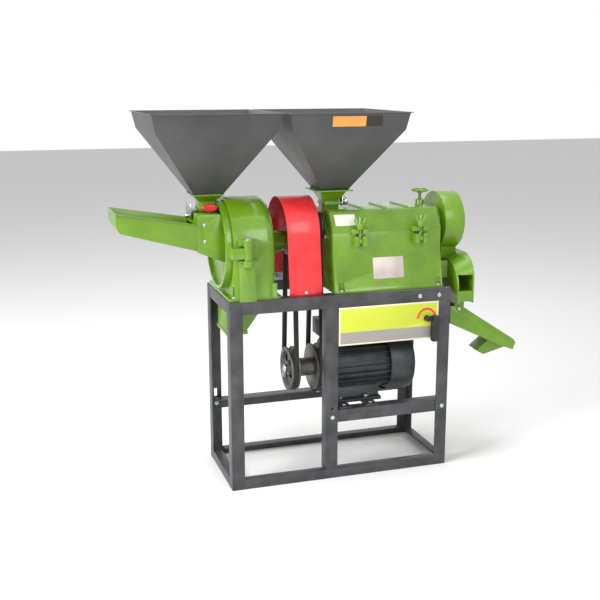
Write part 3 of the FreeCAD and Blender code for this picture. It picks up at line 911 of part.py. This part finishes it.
SIDE_L, SIDE_R = (-45.0, FH - 10.0, 95.0, 84.0), (-66.0, FH + 17.0, 77.0, 80.0)
hood_out, hood_in = [Part.makeLoft([hood_wire(HOOD_X[0], g, *SIDE_L), hood_wire(HOOD_X[1], g, *SIDE_R)], True, True)
                     for g in (0, HOOD_T)]
hood_in = hood_in.common(box(*HOOD_IN, -300, 300, HOOD_LOW - 1, HULL_Z))
hood = hood_out.cut(hood_in).cut(box(*HOOD_IN, -200, HOOD_REAR - HOOD_T, HOOD_LOW - 1, HOOD_LOW + 1))
FRONT_Z = (FH - 20.0, FH + 32.0)           # front window
NECK_X, NECK_Y = (CHUTE_X + 1.0, D_X1 - 1.0), 38.0          # neck between the drum and the hood
neck_in = (NECK_X[0] + HOOD_T, NECK_X[1] - HOOD_T)
hood = drill(hood, [box(HOOD_X[0] + 5, HOOD_X[1] - 5, -160, -100, *FRONT_Z),
                    cyl("y", 46.0, -160, -120, (HOOD_X[0] + HOOD_X[1]) / 2 + 4, HOOD_LOW - 38),
                    box(HOOD_IN[0], neck_in[1], -NECK_Y + HOOD_T, NECK_Y - HOOD_T, FH + 40, HULL_Z),
                    box(H_X1 - 1, HOOD_IN[0] + 1, *duct_in)])
tube = box(H_X1, HOOD_X[0], *DUCT_Y, *DUCT_Z).cut(box(H_X1 - 1, HOOD_IN[0] + 1, *duct_in))
CHUTE_Z = HOOD_LOW - 9.0
CH_Y, CH_T = (-122.0, 36.0), 2.0           # chute inner faces, sheet
SCREW = (CHUTE_X + 29.0, CHUTE_Z - 10.0)
flap_z = (SCREW[1] - 12, HOOD_LOW + 6)     # flaps of the hood inside the chute walls
lip = [box(HOOD_X[0] + 5, HOOD_X[1] - 5, -150, -118, FRONT_Z[0] - 3, FRONT_Z[0]).common(hood_out),
       box(HOOD_X[0], HOOD_X[0] + 34, CH_Y[0], CH_Y[0] + HOOD_T, *flap_z),
       box(HOOD_X[0], HOOD_X[0] + 34, CH_Y[1] - HOOD_T, CH_Y[1], *flap_z),
       box(HOOD_X[0], HOOD_IN[0], *CH_Y, flap_z[0], HOOD_LOW + 4)]
save("discharge_hood", drill(fuse([hood, tube] + lip), [hole("y", y, *SCREW, 6, 6) for y in CH_Y]))

drum = cyl("x", DRUM_R, D_X0, D_X1, 0, HULL_Z)
drum = drum.cut(cyl("x", DRUM_R - HOOD_T, D_X0 + HOOD_T, D_X1 - HOOD_T, 0, HULL_Z))
EYE_R = 46.0                               # air inlet round the shaft
drum = drum.cut(cyl("x", EYE_R, D_X0 - 1, D_X0 + 5, 0, HULL_Z))
neck = box(*NECK_X, -NECK_Y, NECK_Y, FH + 40, HULL_Z).cut(cyl("x", DRUM_R - 1, D_X0 - 5, D_X1 + 5, 0, HULL_Z))
neck = neck.cut(box(*HOOD_X, -NECK_Y - 1, NECK_Y + 1, FH, HULL_Z).common(hood_out))
neck = neck.cut(box(NECK_X[0] - 1, HOOD_X[0], -NECK_Y - 1, NECK_Y + 1, FH, DUCT_Z[1] + 6))
drum = fuse([drum, ring("x", EYE_R + 4, EYE_R, D_X0 - 4, D_X0 + HOOD_T, 0, HULL_Z), neck])
drum = drum.cut(box(*neck_in, -NECK_Y + HOOD_T, NECK_Y - HOOD_T, DUCT_Z[1] + 8, HULL_Z - DRUM_R * 0.75))
save("blower_drum", largest(drum))
FAN_X = (D_X0 + 10.0, D_X1 - 10.0)
impeller = [ring("x", 24.0, H_SHAFT_R, *FAN_X, 0, HULL_Z),
            ring("x", 78.0, H_SHAFT_R, FAN_X[1] - 3, FAN_X[1], 0, HULL_Z)]
impeller += [turned(box(FAN_X[0], FAN_X[1] - 1, -2, 2, 20, 79), 60.0 * k, HULL_Z) for k in range(6)]
save("blower_impeller", fuse(impeller))


def chute_plate(pts, y0, y1):
    """Plate whose outline is given from the chute's upper left corner."""
    return prism("y", [(CHUTE_X + x, CHUTE_Z + z) for x, z in pts], y0, y1)


side = [(0, 0), (37, 0), (237, -130), (CHUTE_L, -142), (236, -166), (191, -149), (127, -118), (0, -58)]
floor = [(0, -58), (127, -118), (191, -149), (236, -166), (236.7, -164), (191.8, -147), (128, -115.9), (0, -55.7)]
back = [(0, -57), (CH_T, -57), (CH_T, 0), (0, 0)]
y_out = (CH_Y[0] - CH_T, CH_Y[1] + CH_T)
SPT_Y, SPT_T = (-96.0, -34.0), 1.5         # small spout under the chute floor
snout = [(159, -133), (118, -165), (141, -182), (223, -161)]
scoop = [(161.5, -133.7), (119, -167), (115, -171), (137, -187), (142, -180), (219, -160.5), (197, -143)]
drop = [(167, -149), (212, -171), (219, -157), (175, -127)]
small = chute_plate(snout, *SPT_Y).cut(chute_plate(scoop, SPT_Y[0] + SPT_T, SPT_Y[1] - SPT_T))
chute = fuse([chute_plate(side, y_out[0], CH_Y[0]), chute_plate(side, CH_Y[1], y_out[1]),
              chute_plate(floor, *y_out), chute_plate(back, *y_out), small])
chute = chute.cut(chute_plate(drop, SPT_Y[0] + 6, SPT_Y[1] - 6))
save("discharge_chute", largest(drill(chute, [hole("y", y, *SCREW, 6, 6) for y in CH_Y])))
for s, y in ((1, y_out[0]), (-1, y_out[1])):
    BOLTS += bolt("y", s, y, *SCREW, 6, CH_T + HOOD_T)

# ---------------------------------------------------------------- control box on the front rail
CB_X, CB_Z, CB_Y, CB_T = (MIDX + LA + 2.0, FL - LA - 2.0), (FH - 162.0, FH - 42.0), (-HW + 1.0, -HW + 69.0), 1.5
RAIL_Y = -HW + LT
case = box(*CB_X, *CB_Y, *CB_Z)
case = case.cut(box(CB_X[0] + CB_T, CB_X[1] - CB_T, CB_Y[0] + CB_T, CB_Y[1] - CB_T, CB_Z[0] + CB_T, CB_Z[1] - CB_T))
case = case.cut(box(CB_X[0] + 12, CB_X[1] - 12, CB_Y[0] - 1, CB_Y[0] + 3, CB_Z[0] + 12, CB_Z[1] - 12))
hangers = [box(x0, x1, RAIL_Y, RAIL_Y + CB_T, CB_Z[1] - 1, FH - 7)
           for x0, x1 in ((RAIL_BOLTS[0][0] - 17, RAIL_BOLTS[1][0] + 17), (CB_X[0] + 43, CB_X[0] + 113))]
case = drill(fuse([case] + hangers), [hole("y", RAIL_Y, x, z, M8, 6) for x, z in RAIL_BOLTS])
for x, z in RAIL_BOLTS:
    BOLTS += bolt("y", 1, -HW, x, z, M8, LT + CB_T)
HUB, HUB_R, AXLE_R = (CB_X[1] - 40.0, CB_Z[1] - 53.0), 9.0, 5.0     # switch axle (x, z)
FAS_T = 2.0
fascia = box(CB_X[0] - 1, CB_X[1] + 1, CB_Y[0] - FAS_T, CB_Y[0], CB_Z[0] - 1, CB_Z[1] + 1)
save("control_fascia", fascia.cut(cyl("y", HUB_R + 0.4, CB_Y[0] - 5, CB_Y[0] + 1, *HUB)))
switch = box(HUB[0] - 24, HUB[0] + 24, CB_Y[0], CB_Y[0] + 46, HUB[1] - 26, HUB[1] + 26)
switch = switch.cut(cyl("y", AXLE_R + RUN, CB_Y[0] - 1, CB_Y[0] + 30, *HUB))
save("control_box", [case, switch])
HD_Y = CB_Y[0] - FAS_T - 1.0               # underside of the lever's hub
grip = box(HUB[0] + 13, HUB[0] + 35, HD_Y - 26, HD_Y - 4, HUB[1] - 74, HUB[1] + 10)
grip = grip.makeFillet(4.0, [e for e in grip.Edges if abs(e.Vertexes[0].Y - e.Vertexes[1].Y) > 1]
                       + [e for e in grip.Edges if all(abs(v.Y - (HD_Y - 26)) < 1e-6 for v in e.Vertexes)])
save("switch_handle", fuse([cyl("y", HUB_R, HD_Y - 12, HD_Y, *HUB), cyl("y", AXLE_R, HD_Y - 1, CB_Y[0] + 28, *HUB),
                            box(HUB[0] - 4, HUB[0] + 16, HD_Y - 12, HD_Y - 4.5, HUB[1] - 8, HUB[1] + 8), grip]))

save("labels", LABELS)
save("bearings", BEARINGS)
save("machine_fasteners", BOLTS)
save("door_fasteners", DOOR_BOLTS)
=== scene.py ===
import json
import math

import bmesh
import bpy
from mathutils import Matrix, Vector

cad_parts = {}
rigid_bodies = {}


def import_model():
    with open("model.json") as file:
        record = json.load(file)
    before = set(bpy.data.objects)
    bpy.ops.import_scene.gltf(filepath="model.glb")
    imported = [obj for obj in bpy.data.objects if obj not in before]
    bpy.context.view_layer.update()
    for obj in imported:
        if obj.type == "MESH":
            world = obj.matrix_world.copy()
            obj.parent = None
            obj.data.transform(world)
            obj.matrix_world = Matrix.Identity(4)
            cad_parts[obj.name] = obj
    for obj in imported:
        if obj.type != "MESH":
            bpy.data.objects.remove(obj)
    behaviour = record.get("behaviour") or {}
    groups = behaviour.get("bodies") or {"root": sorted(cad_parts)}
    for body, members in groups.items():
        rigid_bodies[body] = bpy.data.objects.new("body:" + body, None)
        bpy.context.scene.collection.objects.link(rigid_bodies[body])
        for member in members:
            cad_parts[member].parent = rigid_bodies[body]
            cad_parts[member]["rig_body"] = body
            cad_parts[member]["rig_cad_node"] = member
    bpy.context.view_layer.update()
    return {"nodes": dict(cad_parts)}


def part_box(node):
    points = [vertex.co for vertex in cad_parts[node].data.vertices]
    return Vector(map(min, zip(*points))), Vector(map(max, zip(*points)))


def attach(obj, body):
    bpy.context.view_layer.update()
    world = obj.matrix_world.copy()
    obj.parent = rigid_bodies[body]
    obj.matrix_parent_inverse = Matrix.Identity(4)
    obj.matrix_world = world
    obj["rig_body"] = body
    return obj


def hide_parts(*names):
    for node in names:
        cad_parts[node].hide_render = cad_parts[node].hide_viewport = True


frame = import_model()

# ---------------------------------------------------------------- stand
# Rolled mild-steel angle, sawn, mitred and arc welded, then brushed with black paint.
# The mill scale under the paint leaves it faintly rough, and its tone drifts with the brush strokes.
SMOOTH_BELOW = math.radians(38.0)           # faces that meet flatter than this are shaded round
BEVEL_ABOVE = math.radians(32.0)            # edges sharper than this are broken
MERGE, FLAT = 0.00002, math.radians(1.0)    # metres apart that count as one point; angle that counts as flat


def colour(text):
    """sRGB hex to the linear colour that a shader wants."""
    parts = [int(text[k:k + 2], 16) / 255 for k in (0, 2, 4)]
    return [p / 12.92 if p <= 0.04045 else ((p + 0.055) / 1.055) ** 2.4 for p in parts] + [1.0]


def add(tree, kind, settings=(), links=()):
    """Adds a node, sets its properties or sockets, and links (input, node, output) triples to it."""
    node = tree.nodes.new(kind)
    for key, value in dict(settings).items():
        if isinstance(key, str) and hasattr(node, key):
            setattr(node, key, value)
        else:
            node.inputs[key].default_value = value
    for socket, source, output in links:
        tree.links.new(source.outputs[output], node.inputs[socket])
    return node


def new_material(name):
    material = bpy.data.materials.new(name)
    material.use_nodes = True
    material.node_tree.nodes.clear()
    return material, material.node_tree


SMEAR_MM = 60.0                             # spacing of the duller spots on every coat


def coating(name, light, dark, rough, patch_mm, grain_mm, relief_mm, metal=0.0, coat=0.0):
    """A coat over a base: broad patches between two tones, duller spots, and a fine grain in relief."""
    material, tree = new_material(name)
    where = add(tree, "ShaderNodeTexCoord")
    patches = add(tree, "ShaderNodeTexNoise", {"Scale": 1000.0 / patch_mm, "Detail": 6.0, "Roughness": 0.6},
                  [("Vector", where, "Object")])
    tone = add(tree, "ShaderNodeValToRGB", links=[("Fac", patches, 0)])
    tone.color_ramp.elements[0].position = 0.34
    tone.color_ramp.elements[0].color = colour(dark)
    tone.color_ramp.elements[1].position = 0.64
    tone.color_ramp.elements[1].color = colour(light)
    smears = add(tree, "ShaderNodeTexNoise", {"Scale": 1000.0 / SMEAR_MM, "Detail": 3.0},
                 [("Vector", where, "Object")])
    gloss = add(tree, "ShaderNodeMapRange", {"To Min": max(0.05, rough - 0.1), "To Max": rough + 0.12},
                [("Value", smears, 0)])
    grain = add(tree, "ShaderNodeTexNoise", {"Scale": 1000.0 / grain_mm, "Detail": 4.0},
                [("Vector", where, "Object")])
    relief = add(tree, "ShaderNodeBump", {"Strength": 0.6, "Distance": relief_mm / 1000.0},
                 [("Height", grain, 0)])
    shader = add(tree, "ShaderNodeBsdfPrincipled",
                 {"Metallic": metal, "Coat Weight": coat, "Coat Roughness": 0.12},
                 [("Base Color", tone, 0), ("Roughness", gloss, 0), ("Normal", relief, 0)])
    add(tree, "ShaderNodeOutputMaterial", links=[("Surface", shader, 0)])
    return material


def deselect():
    bpy.ops.object.select_all(action="DESELECT")


def take(piece):
    deselect()
    piece.select_set(True)
    bpy.context.view_layer.objects.active = piece


def finish_edges(piece, width_mm):
    """Breaks the sharp edges by width_mm and shades the rounder ones smooth."""
    take(piece)
    bevel = piece.modifiers.new("edge", "BEVEL")
    bevel.width = width_mm / 1000.0
    bevel.segments = 2
    bevel.limit_method = "ANGLE"
    bevel.angle_limit = BEVEL_ABOVE
    bevel.use_clamp_overlap = True
    bpy.ops.object.modifier_apply(modifier=bevel.name)
    bpy.ops.object.shade_smooth_by_angle(angle=SMOOTH_BELOW)


def dress(node, material, width_mm):
    """A copy of a CAD piece with merged faces, broken edges and its finish, in place of the plain one."""
    source = frame["nodes"][node]
    piece = source.copy()
    piece.data = source.data.copy()
    piece.name = node + "_finished"
    del piece["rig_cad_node"]
    bpy.context.scene.collection.objects.link(piece)
    shape = bmesh.new()
    shape.from_mesh(piece.data)
    bmesh.ops.remove_doubles(shape, verts=shape.verts, dist=MERGE)
    bmesh.ops.dissolve_limit(shape, angle_limit=FLAT, verts=shape.verts, edges=shape.edges)
    shape.to_mesh(piece.data)
    shape.free()
    piece.data.materials.clear()
    piece.data.materials.append(material)
    finish_edges(piece, width_mm)
    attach(piece, source["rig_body"])
    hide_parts(node)


def coat_node(node, material):
    """Gives a CAD piece whose shape is right its finish."""
    slots = frame["nodes"][node].data.materials
    slots.clear()
    slots.append(material)


# Brushed black enamel on hot-rolled steel: nearly neutral, half matt, with the scale showing as relief.
frame_paint = coating("brushed_black_enamel_on_rolled_steel", "4A4A4C", "2E2E30", 0.42, 70.0, 2.5, 0.10)
for node in ("frame_posts", "frame_top_rails", "frame_bottom_rails", "motor_rails", "motor_cross_bars"):
    dress(node, frame_paint, 1.0)

# ---------------------------------------------------------------- motor
# Four-pole induction motor in a finned cast housing, sprayed black, with pressed fan cover and terminal box.
# The copper winding and steel rotor sit inside; the fan stirs air through the slotted cover.
motor_paint = coating("sprayed_black_paint_on_castings", "3A3B3E", "242527", 0.45, 40.0, 1.6, 0.14)
for node in ("motor_housing", "motor_end_shields", "motor_fan_cover", "motor_terminal_box"):
    dress(node, motor_paint, 0.5)
# Turned and ground steel: bright and even.
turned_steel = coating("turned_bright_steel", "C9CACC", "A7A9AC", 0.28, 20.0, 0.8, 0.03, metal=1.0)
# Enamelled copper wire: warm red brown under a clear varnish.
varnished_copper = coating("varnished_copper_winding", "B4653A", "7E3F22", 0.35, 8.0, 1.2, 0.3, metal=1.0)
# Moulded phenolic: deep black and slightly shiny.
black_thermoset = coating("moulded_black_thermoset", "242424", "181818", 0.35, 30.0, 0.9, 0.03)
# Grey iron straight from the sand: dull and coarse.
grey_iron = coating("bare_grey_cast_iron", "6C6B69", "4B4A48", 0.55, 18.0, 1.4, 0.22, metal=0.8)
coat_node("motor_stator", varnished_copper)
coat_node("motor_rotor_shaft", turned_steel)
coat_node("motor_fan", black_thermoset)

# ---------------------------------------------------------------- pulleys and belts
# Cast V-pulleys, turned in the grooves and left to go brown, and two B-section rubber belts.
# The fabric jacket leaves a belt dull and a little rough.
pulley_iron = coating("turned_pulley_iron", "77746F", "524F4B", 0.42, 25.0, 1.2, 0.12, metal=0.8)
belt_rubber = coating("fabric_jacketed_rubber", "2B2A28", "1B1A19", 0.75, 12.0, 0.9, 0.18)
for node in ("motor_double_pulley", "grinder_pulley", "mill_pulley"):
    dress(node, pulley_iron, 0.6)
for node in ("grinder_belt", "mill_belt"):
    dress(node, belt_rubber, 0.7)

# ---------------------------------------------------------------- belt guard
# Two-millimetre steel strip rolled over the pulleys and screwed to the stand, sprayed bright red.
# The rolling leaves slow waves in the sheet, which bend its highlights.
red_enamel = coating("sprayed_red_enamel_on_sheet", "F2383C", "D8202A", 0.30, 90.0, 14.0, 0.35, coat=0.3)
dress("belt_guard", red_enamel, 0.5)

# ---------------------------------------------------------------- castings
# Grinder and mill bodies in sand-cast iron, filled and sprayed with thick green gloss enamel.
# Orange peel and the sand under it break up the highlights.
green_enamel = coating("green_gloss_enamel_on_cast_iron", "6F9A12", "5C8609", 0.26, 110.0, 4.5, 0.22,
                       coat=0.5)
green_sheet = coating("green_enamel_on_sheet_steel", "6B960F", "5A8208", 0.34, 120.0, 18.0, 0.22, coat=0.3)
for node in ("grinder_casing", "grinder_door", "mill_body", "mill_cover", "mill_bearing_housings",
             "clamp_lugs"):
    dress(node, green_enamel, 1.4)
for node in ("swing_bolt_left", "swing_bolt_right", "wing_nut_left", "wing_nut_right", "mill_handwheel",
             "clamp_pins"):
    dress(node, green_enamel, 0.7)
for node in ("feed_box", "feed_tray", "grinder_throat", "mill_throat", "blower_drum", "discharge_hood",
             "discharge_chute", "grinder_outlet_spout"):
    dress(node, green_sheet, 0.35)

# ---------------------------------------------------------------- grinding and milling parts
# Chilled-iron claws and roller, bare and polished by the grain; sieve and screen in perforated steel.
for node in ("grinder_fixed_claws", "grinder_rotor", "milling_roller", "blower_impeller"):
    coat_node(node, grey_iron)
for node in ("mill_shaft", "bearings", "grinder_sieve", "mill_screen", "flow_regulator",
             "grinder_door_fixings"):
    coat_node(node, turned_steel)

# ---------------------------------------------------------------- hoppers
# Folded 1.5 mm sheet, spot welded at the corners, with a flat lip, sprayed with thin black paint.
# The panels oil-can a little, so the sheen drifts across them.
sheet_paint = coating("thin_black_paint_on_folded_sheet", "4A4A4A", "3C3C3D", 0.40, 160.0, 30.0, 0.30)
for node in ("grinder_hopper", "mill_hopper"):
    dress(node, sheet_paint, 0.4)

# ---------------------------------------------------------------- slide gates and knobs
# Plated steel gates with turned knobs on their tabs, in one finish; the oval red knob locks the grinder gate.
zinc = coating("zinc_plated_steel", "D4D6D8", "B4B7BA", 0.30, 12.0, 1.5, 0.04, metal=1.0)
red_plastic = coating("moulded_red_plastic", "C81E1E", "AE1717", 0.28, 40.0, 1.0, 0.03, coat=0.2)
for node in ("grinder_gate", "mill_gate"):
    dress(node, zinc, 0.4)
dress("grinder_gate_lock", red_plastic, 0.6)

# ---------------------------------------------------------------- fasteners
# Zinc-plated hexagon bolts and nuts, bright where the castings and rails are held down.
for node in ("machine_fasteners", "door_fasteners"):
    dress(node, zinc, 0.35)

# ---------------------------------------------------------------- control box
# Black pressed-steel box; a printed card front in yellow green over grey, edged in cream.
# An orange arc round the hub marks the switch's travel, and carries no words.
GREY_BAND, BORDER = 0.042, 0.005            # height of the grey field, width of the cream edge
ARC = (0.026, 0.034)                        # inner and outer radius of the arc
HUB_IN = (0.041, 0.054)                     # hub from the card's right and upper edges
PRINT_EDGE = 0.0004                         # half the width over which two inks meet
PRESS_SCALE, PRESS_DEPTH = 25.0, 0.0001     # 40 mm waves in the film, in metres deep


def split(tree, where, axis, edge):
    """A mask that is 1 where the coordinate along axis is above edge."""
    parts = add(tree, "ShaderNodeSeparateXYZ", links=[(0, where, "Object")])
    return add(tree, "ShaderNodeMapRange", {"From Min": edge - PRINT_EDGE, "From Max": edge + PRINT_EDGE},
               [("Value", parts, axis)])


def overprint(tree, mask, low, high):
    """Prints high over low where mask is 1; each is an ink or a field printed before."""
    node = add(tree, "ShaderNodeMixRGB", links=[("Fac", mask, 0)])
    for socket, part in (("Color1", low), ("Color2", high)):
        if isinstance(part, list):
            node.inputs[socket].default_value = part
        else:
            tree.links.new(part.outputs[0], node.inputs[socket])
    return node


def printed(name, rough, build):
    """Printed film whose colour node comes from build(tree, where)."""
    material, tree = new_material(name)
    where = add(tree, "ShaderNodeTexCoord")
    fade = add(tree, "ShaderNodeTexNoise", {"Scale": PRESS_SCALE, "Detail": 4.0},
               [("Vector", where, "Object")])
    press = add(tree, "ShaderNodeBump", {"Strength": 0.3, "Distance": PRESS_DEPTH}, [("Height", fade, 0)])
    shader = add(tree, "ShaderNodeBsdfPrincipled", {"Roughness": rough},
                 [("Base Color", build(tree, where), 0), ("Normal", press, 0)])
    add(tree, "ShaderNodeOutputMaterial", links=[("Surface", shader, 0)])
    return material


fascia_low, fascia_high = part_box("control_fascia")
hub_x, hub_z = fascia_high.x - HUB_IN[0], fascia_high.z - HUB_IN[1]
CREAM, LIME, ORANGE, PANEL_GREY = colour("E8E2C4"), colour("CBD63C"), colour("E2552A"), colour("9D9893")


def fascia_print(tree, where):
    band = split(tree, where, 2, fascia_low.z + GREY_BAND)
    field = overprint(tree, band, PANEL_GREY, LIME)
    centre = add(tree, "ShaderNodeMapping", {"Location": (-hub_x, 0.0, -hub_z), "Scale": (1.0, 0.0, 1.0)},
                 [("Vector", where, "Object")])
    reach = add(tree, "ShaderNodeVectorMath", {"operation": "LENGTH"}, [(0, centre, 0)])
    inner = add(tree, "ShaderNodeMath", {"operation": "GREATER_THAN", 1: ARC[0]}, [(0, reach, "Value")])
    outer = add(tree, "ShaderNodeMath", {"operation": "LESS_THAN", 1: ARC[1]}, [(0, reach, "Value")])
    arc = add(tree, "ShaderNodeMath", {"operation": "MULTIPLY"}, [(0, inner, 0), (1, outer, 0)])
    upper = split(tree, where, 2, hub_z)
    arc = add(tree, "ShaderNodeMath", {"operation": "MULTIPLY"}, [(0, arc, 0), (1, upper, 0)])
    field = overprint(tree, arc, field, ORANGE)
    inside = [split(tree, where, 0, fascia_low.x + BORDER), split(tree, where, 2, fascia_low.z + BORDER)]
    beyond = [split(tree, where, 0, fascia_high.x - BORDER), split(tree, where, 2, fascia_high.z - BORDER)]
    for mask in inside:
        field = overprint(tree, mask, CREAM, field)
    for mask in beyond:
        field = overprint(tree, mask, field, CREAM)
    return field


fascia_card = printed("printed_card_fascia", 0.38, fascia_print)
dress("control_box", sheet_paint, 0.5)
dress("control_fascia", fascia_card, 0.3)
dress("switch_handle", black_thermoset, 0.6)

# ---------------------------------------------------------------- labels and plate
# Printed film labels left generic, with colour fields only, and a plain plate of thin aluminium.
LABEL_H, BLOCK_W = 0.031, 0.052             # height of the hopper's label, width of its dark block
label_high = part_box("labels")[1]
hopper_label_z = label_high.z - LABEL_H


def label_print(tree, where):
    lower = split(tree, where, 2, hopper_label_z)
    block = split(tree, where, 0, label_high.x - BLOCK_W)
    hopper = overprint(tree, block, colour("E1A04B"), colour("2B2622"))
    return overprint(tree, lower, colour("EFEDE2"), hopper)


label_film = printed("printed_label_film", 0.35, label_print)
coat_node("labels", label_film)
etched_plate = coating("etched_aluminium_plate", "CDBEB9", "BBAFAB", 0.42, 30.0, 1.2, 0.05, metal=0.35)
dress("mill_nameplate", etched_plate, 0.3)

# Plate rivets: four small plated steel domes, set at the plate's corners.
plate_low, plate_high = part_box("mill_nameplate")
RIVET_R, RIVET_IN, RIVET_FLAT = 0.0028, 0.006, 0.55     # radius, place from the edges, height in radii
bpy.ops.mesh.primitive_uv_sphere_add(segments=20, ring_count=10, radius=RIVET_R, location=(0, 0, 0))
dome = bpy.context.object
dome.scale = (1.0, RIVET_FLAT, 1.0)
bpy.ops.object.transform_apply(location=False, rotation=False, scale=True)
bpy.ops.object.shade_smooth_by_angle(angle=math.radians(60.0))
dome.data.materials.append(zinc)
slope = (plate_high.y - plate_low.y) / (plate_high.z - plate_low.z)
for side, x in (("left", plate_low.x + RIVET_IN), ("right", plate_high.x - RIVET_IN)):
    for end, z in (("low", plate_low.z + RIVET_IN), ("high", plate_high.z - RIVET_IN)):
        rivet = dome.copy()
        rivet.data = dome.data.copy()
        rivet.name = "plate_rivet_%s_%s" % (side, end)
        bpy.context.scene.collection.objects.link(rivet)
        rivet.data.transform(Matrix.Translation((x, plate_low.y + slope * (z - plate_low.z), z)))
        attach(rivet, "stand")
bpy.data.objects.remove(dome)

# ---------------------------------------------------------------- floor, light and camera
# A pale floor under the object, and a white surround that only the eye and the reflections see.
deselect()
bpy.ops.mesh.primitive_plane_add(size=30.0, location=(0, 0, 0))
floor = bpy.context.object
floor.name = "studio_floor"
floor_paint, floor_tree = new_material("matt_white_floor")
floor_shader = add(floor_tree, "ShaderNodeBsdfPrincipled", {"Base Color": colour("F7F7F7"), "Roughness": 0.9})
add(floor_tree, "ShaderNodeOutputMaterial", links=[("Surface", floor_shader, 0)])
floor.data.materials.append(floor_paint)

AMBIENT = 0.55                              # what the surround gives as light; seen, it is 1, white
world = bpy.data.worlds.new("studio")
bpy.context.scene.world = world
world.use_nodes = True
sky = world.node_tree
sky.nodes.clear()
ray = add(sky, "ShaderNodeLightPath")
seen = add(sky, "ShaderNodeMath", {"operation": "MAXIMUM"},
           [(0, ray, "Is Camera Ray"), (1, ray, "Is Glossy Ray")])
seen = add(sky, "ShaderNodeMath", {"operation": "MAXIMUM"}, [(0, seen, 0), (1, ray, "Is Transmission Ray")])
strength = add(sky, "ShaderNodeMapRange", {"To Min": AMBIENT, "To Max": 1.0}, [("Value", seen, 0)])
backdrop = add(sky, "ShaderNodeBackground", {"Color": (1.0, 1.0, 1.0, 1.0)}, [("Strength", strength, 0)])
add(sky, "ShaderNodeOutputWorld", links=[("Surface", backdrop, 0)])

TARGET = Vector((-0.0634, 0.0, 0.5608))     # where lamps and camera point


def lamp(name, place, size, watts):
    """A square soft box that faces the object's middle."""
    light = bpy.data.lights.new(name, "AREA")
    light.size = size
    light.energy = watts
    soft_box = bpy.data.objects.new(name, light)
    bpy.context.scene.collection.objects.link(soft_box)
    soft_box.location = place
    soft_box.rotation_euler = (TARGET - Vector(place)).to_track_quat("-Z", "Y").to_euler()


lamp("left_soft_box", (-3.2, -1.0, 2.2), 1.8, 130.0)
lamp("front_soft_box", (0.8, -3.6, 2.4), 2.0, 45.0)
lamp("top_soft_box", (0.0, 0.2, 3.6), 2.4, 60.0)

camera_data = bpy.data.cameras.new("camera")
camera_data.lens = 57.1
camera_data.sensor_width = 36.0
camera_data.shift_x, camera_data.shift_y = -0.00133, -0.00233
camera = bpy.data.objects.new("camera", camera_data)
bpy.context.scene.collection.objects.link(camera)
camera.location = (-0.9778, -2.8309, 1.2476)
camera.rotation_euler = (TARGET - camera.location).to_track_quat("-Z", "Y").to_euler()
bpy.context.scene.camera = camera
bpy.context.scene.view_settings.view_transform = "Standard"
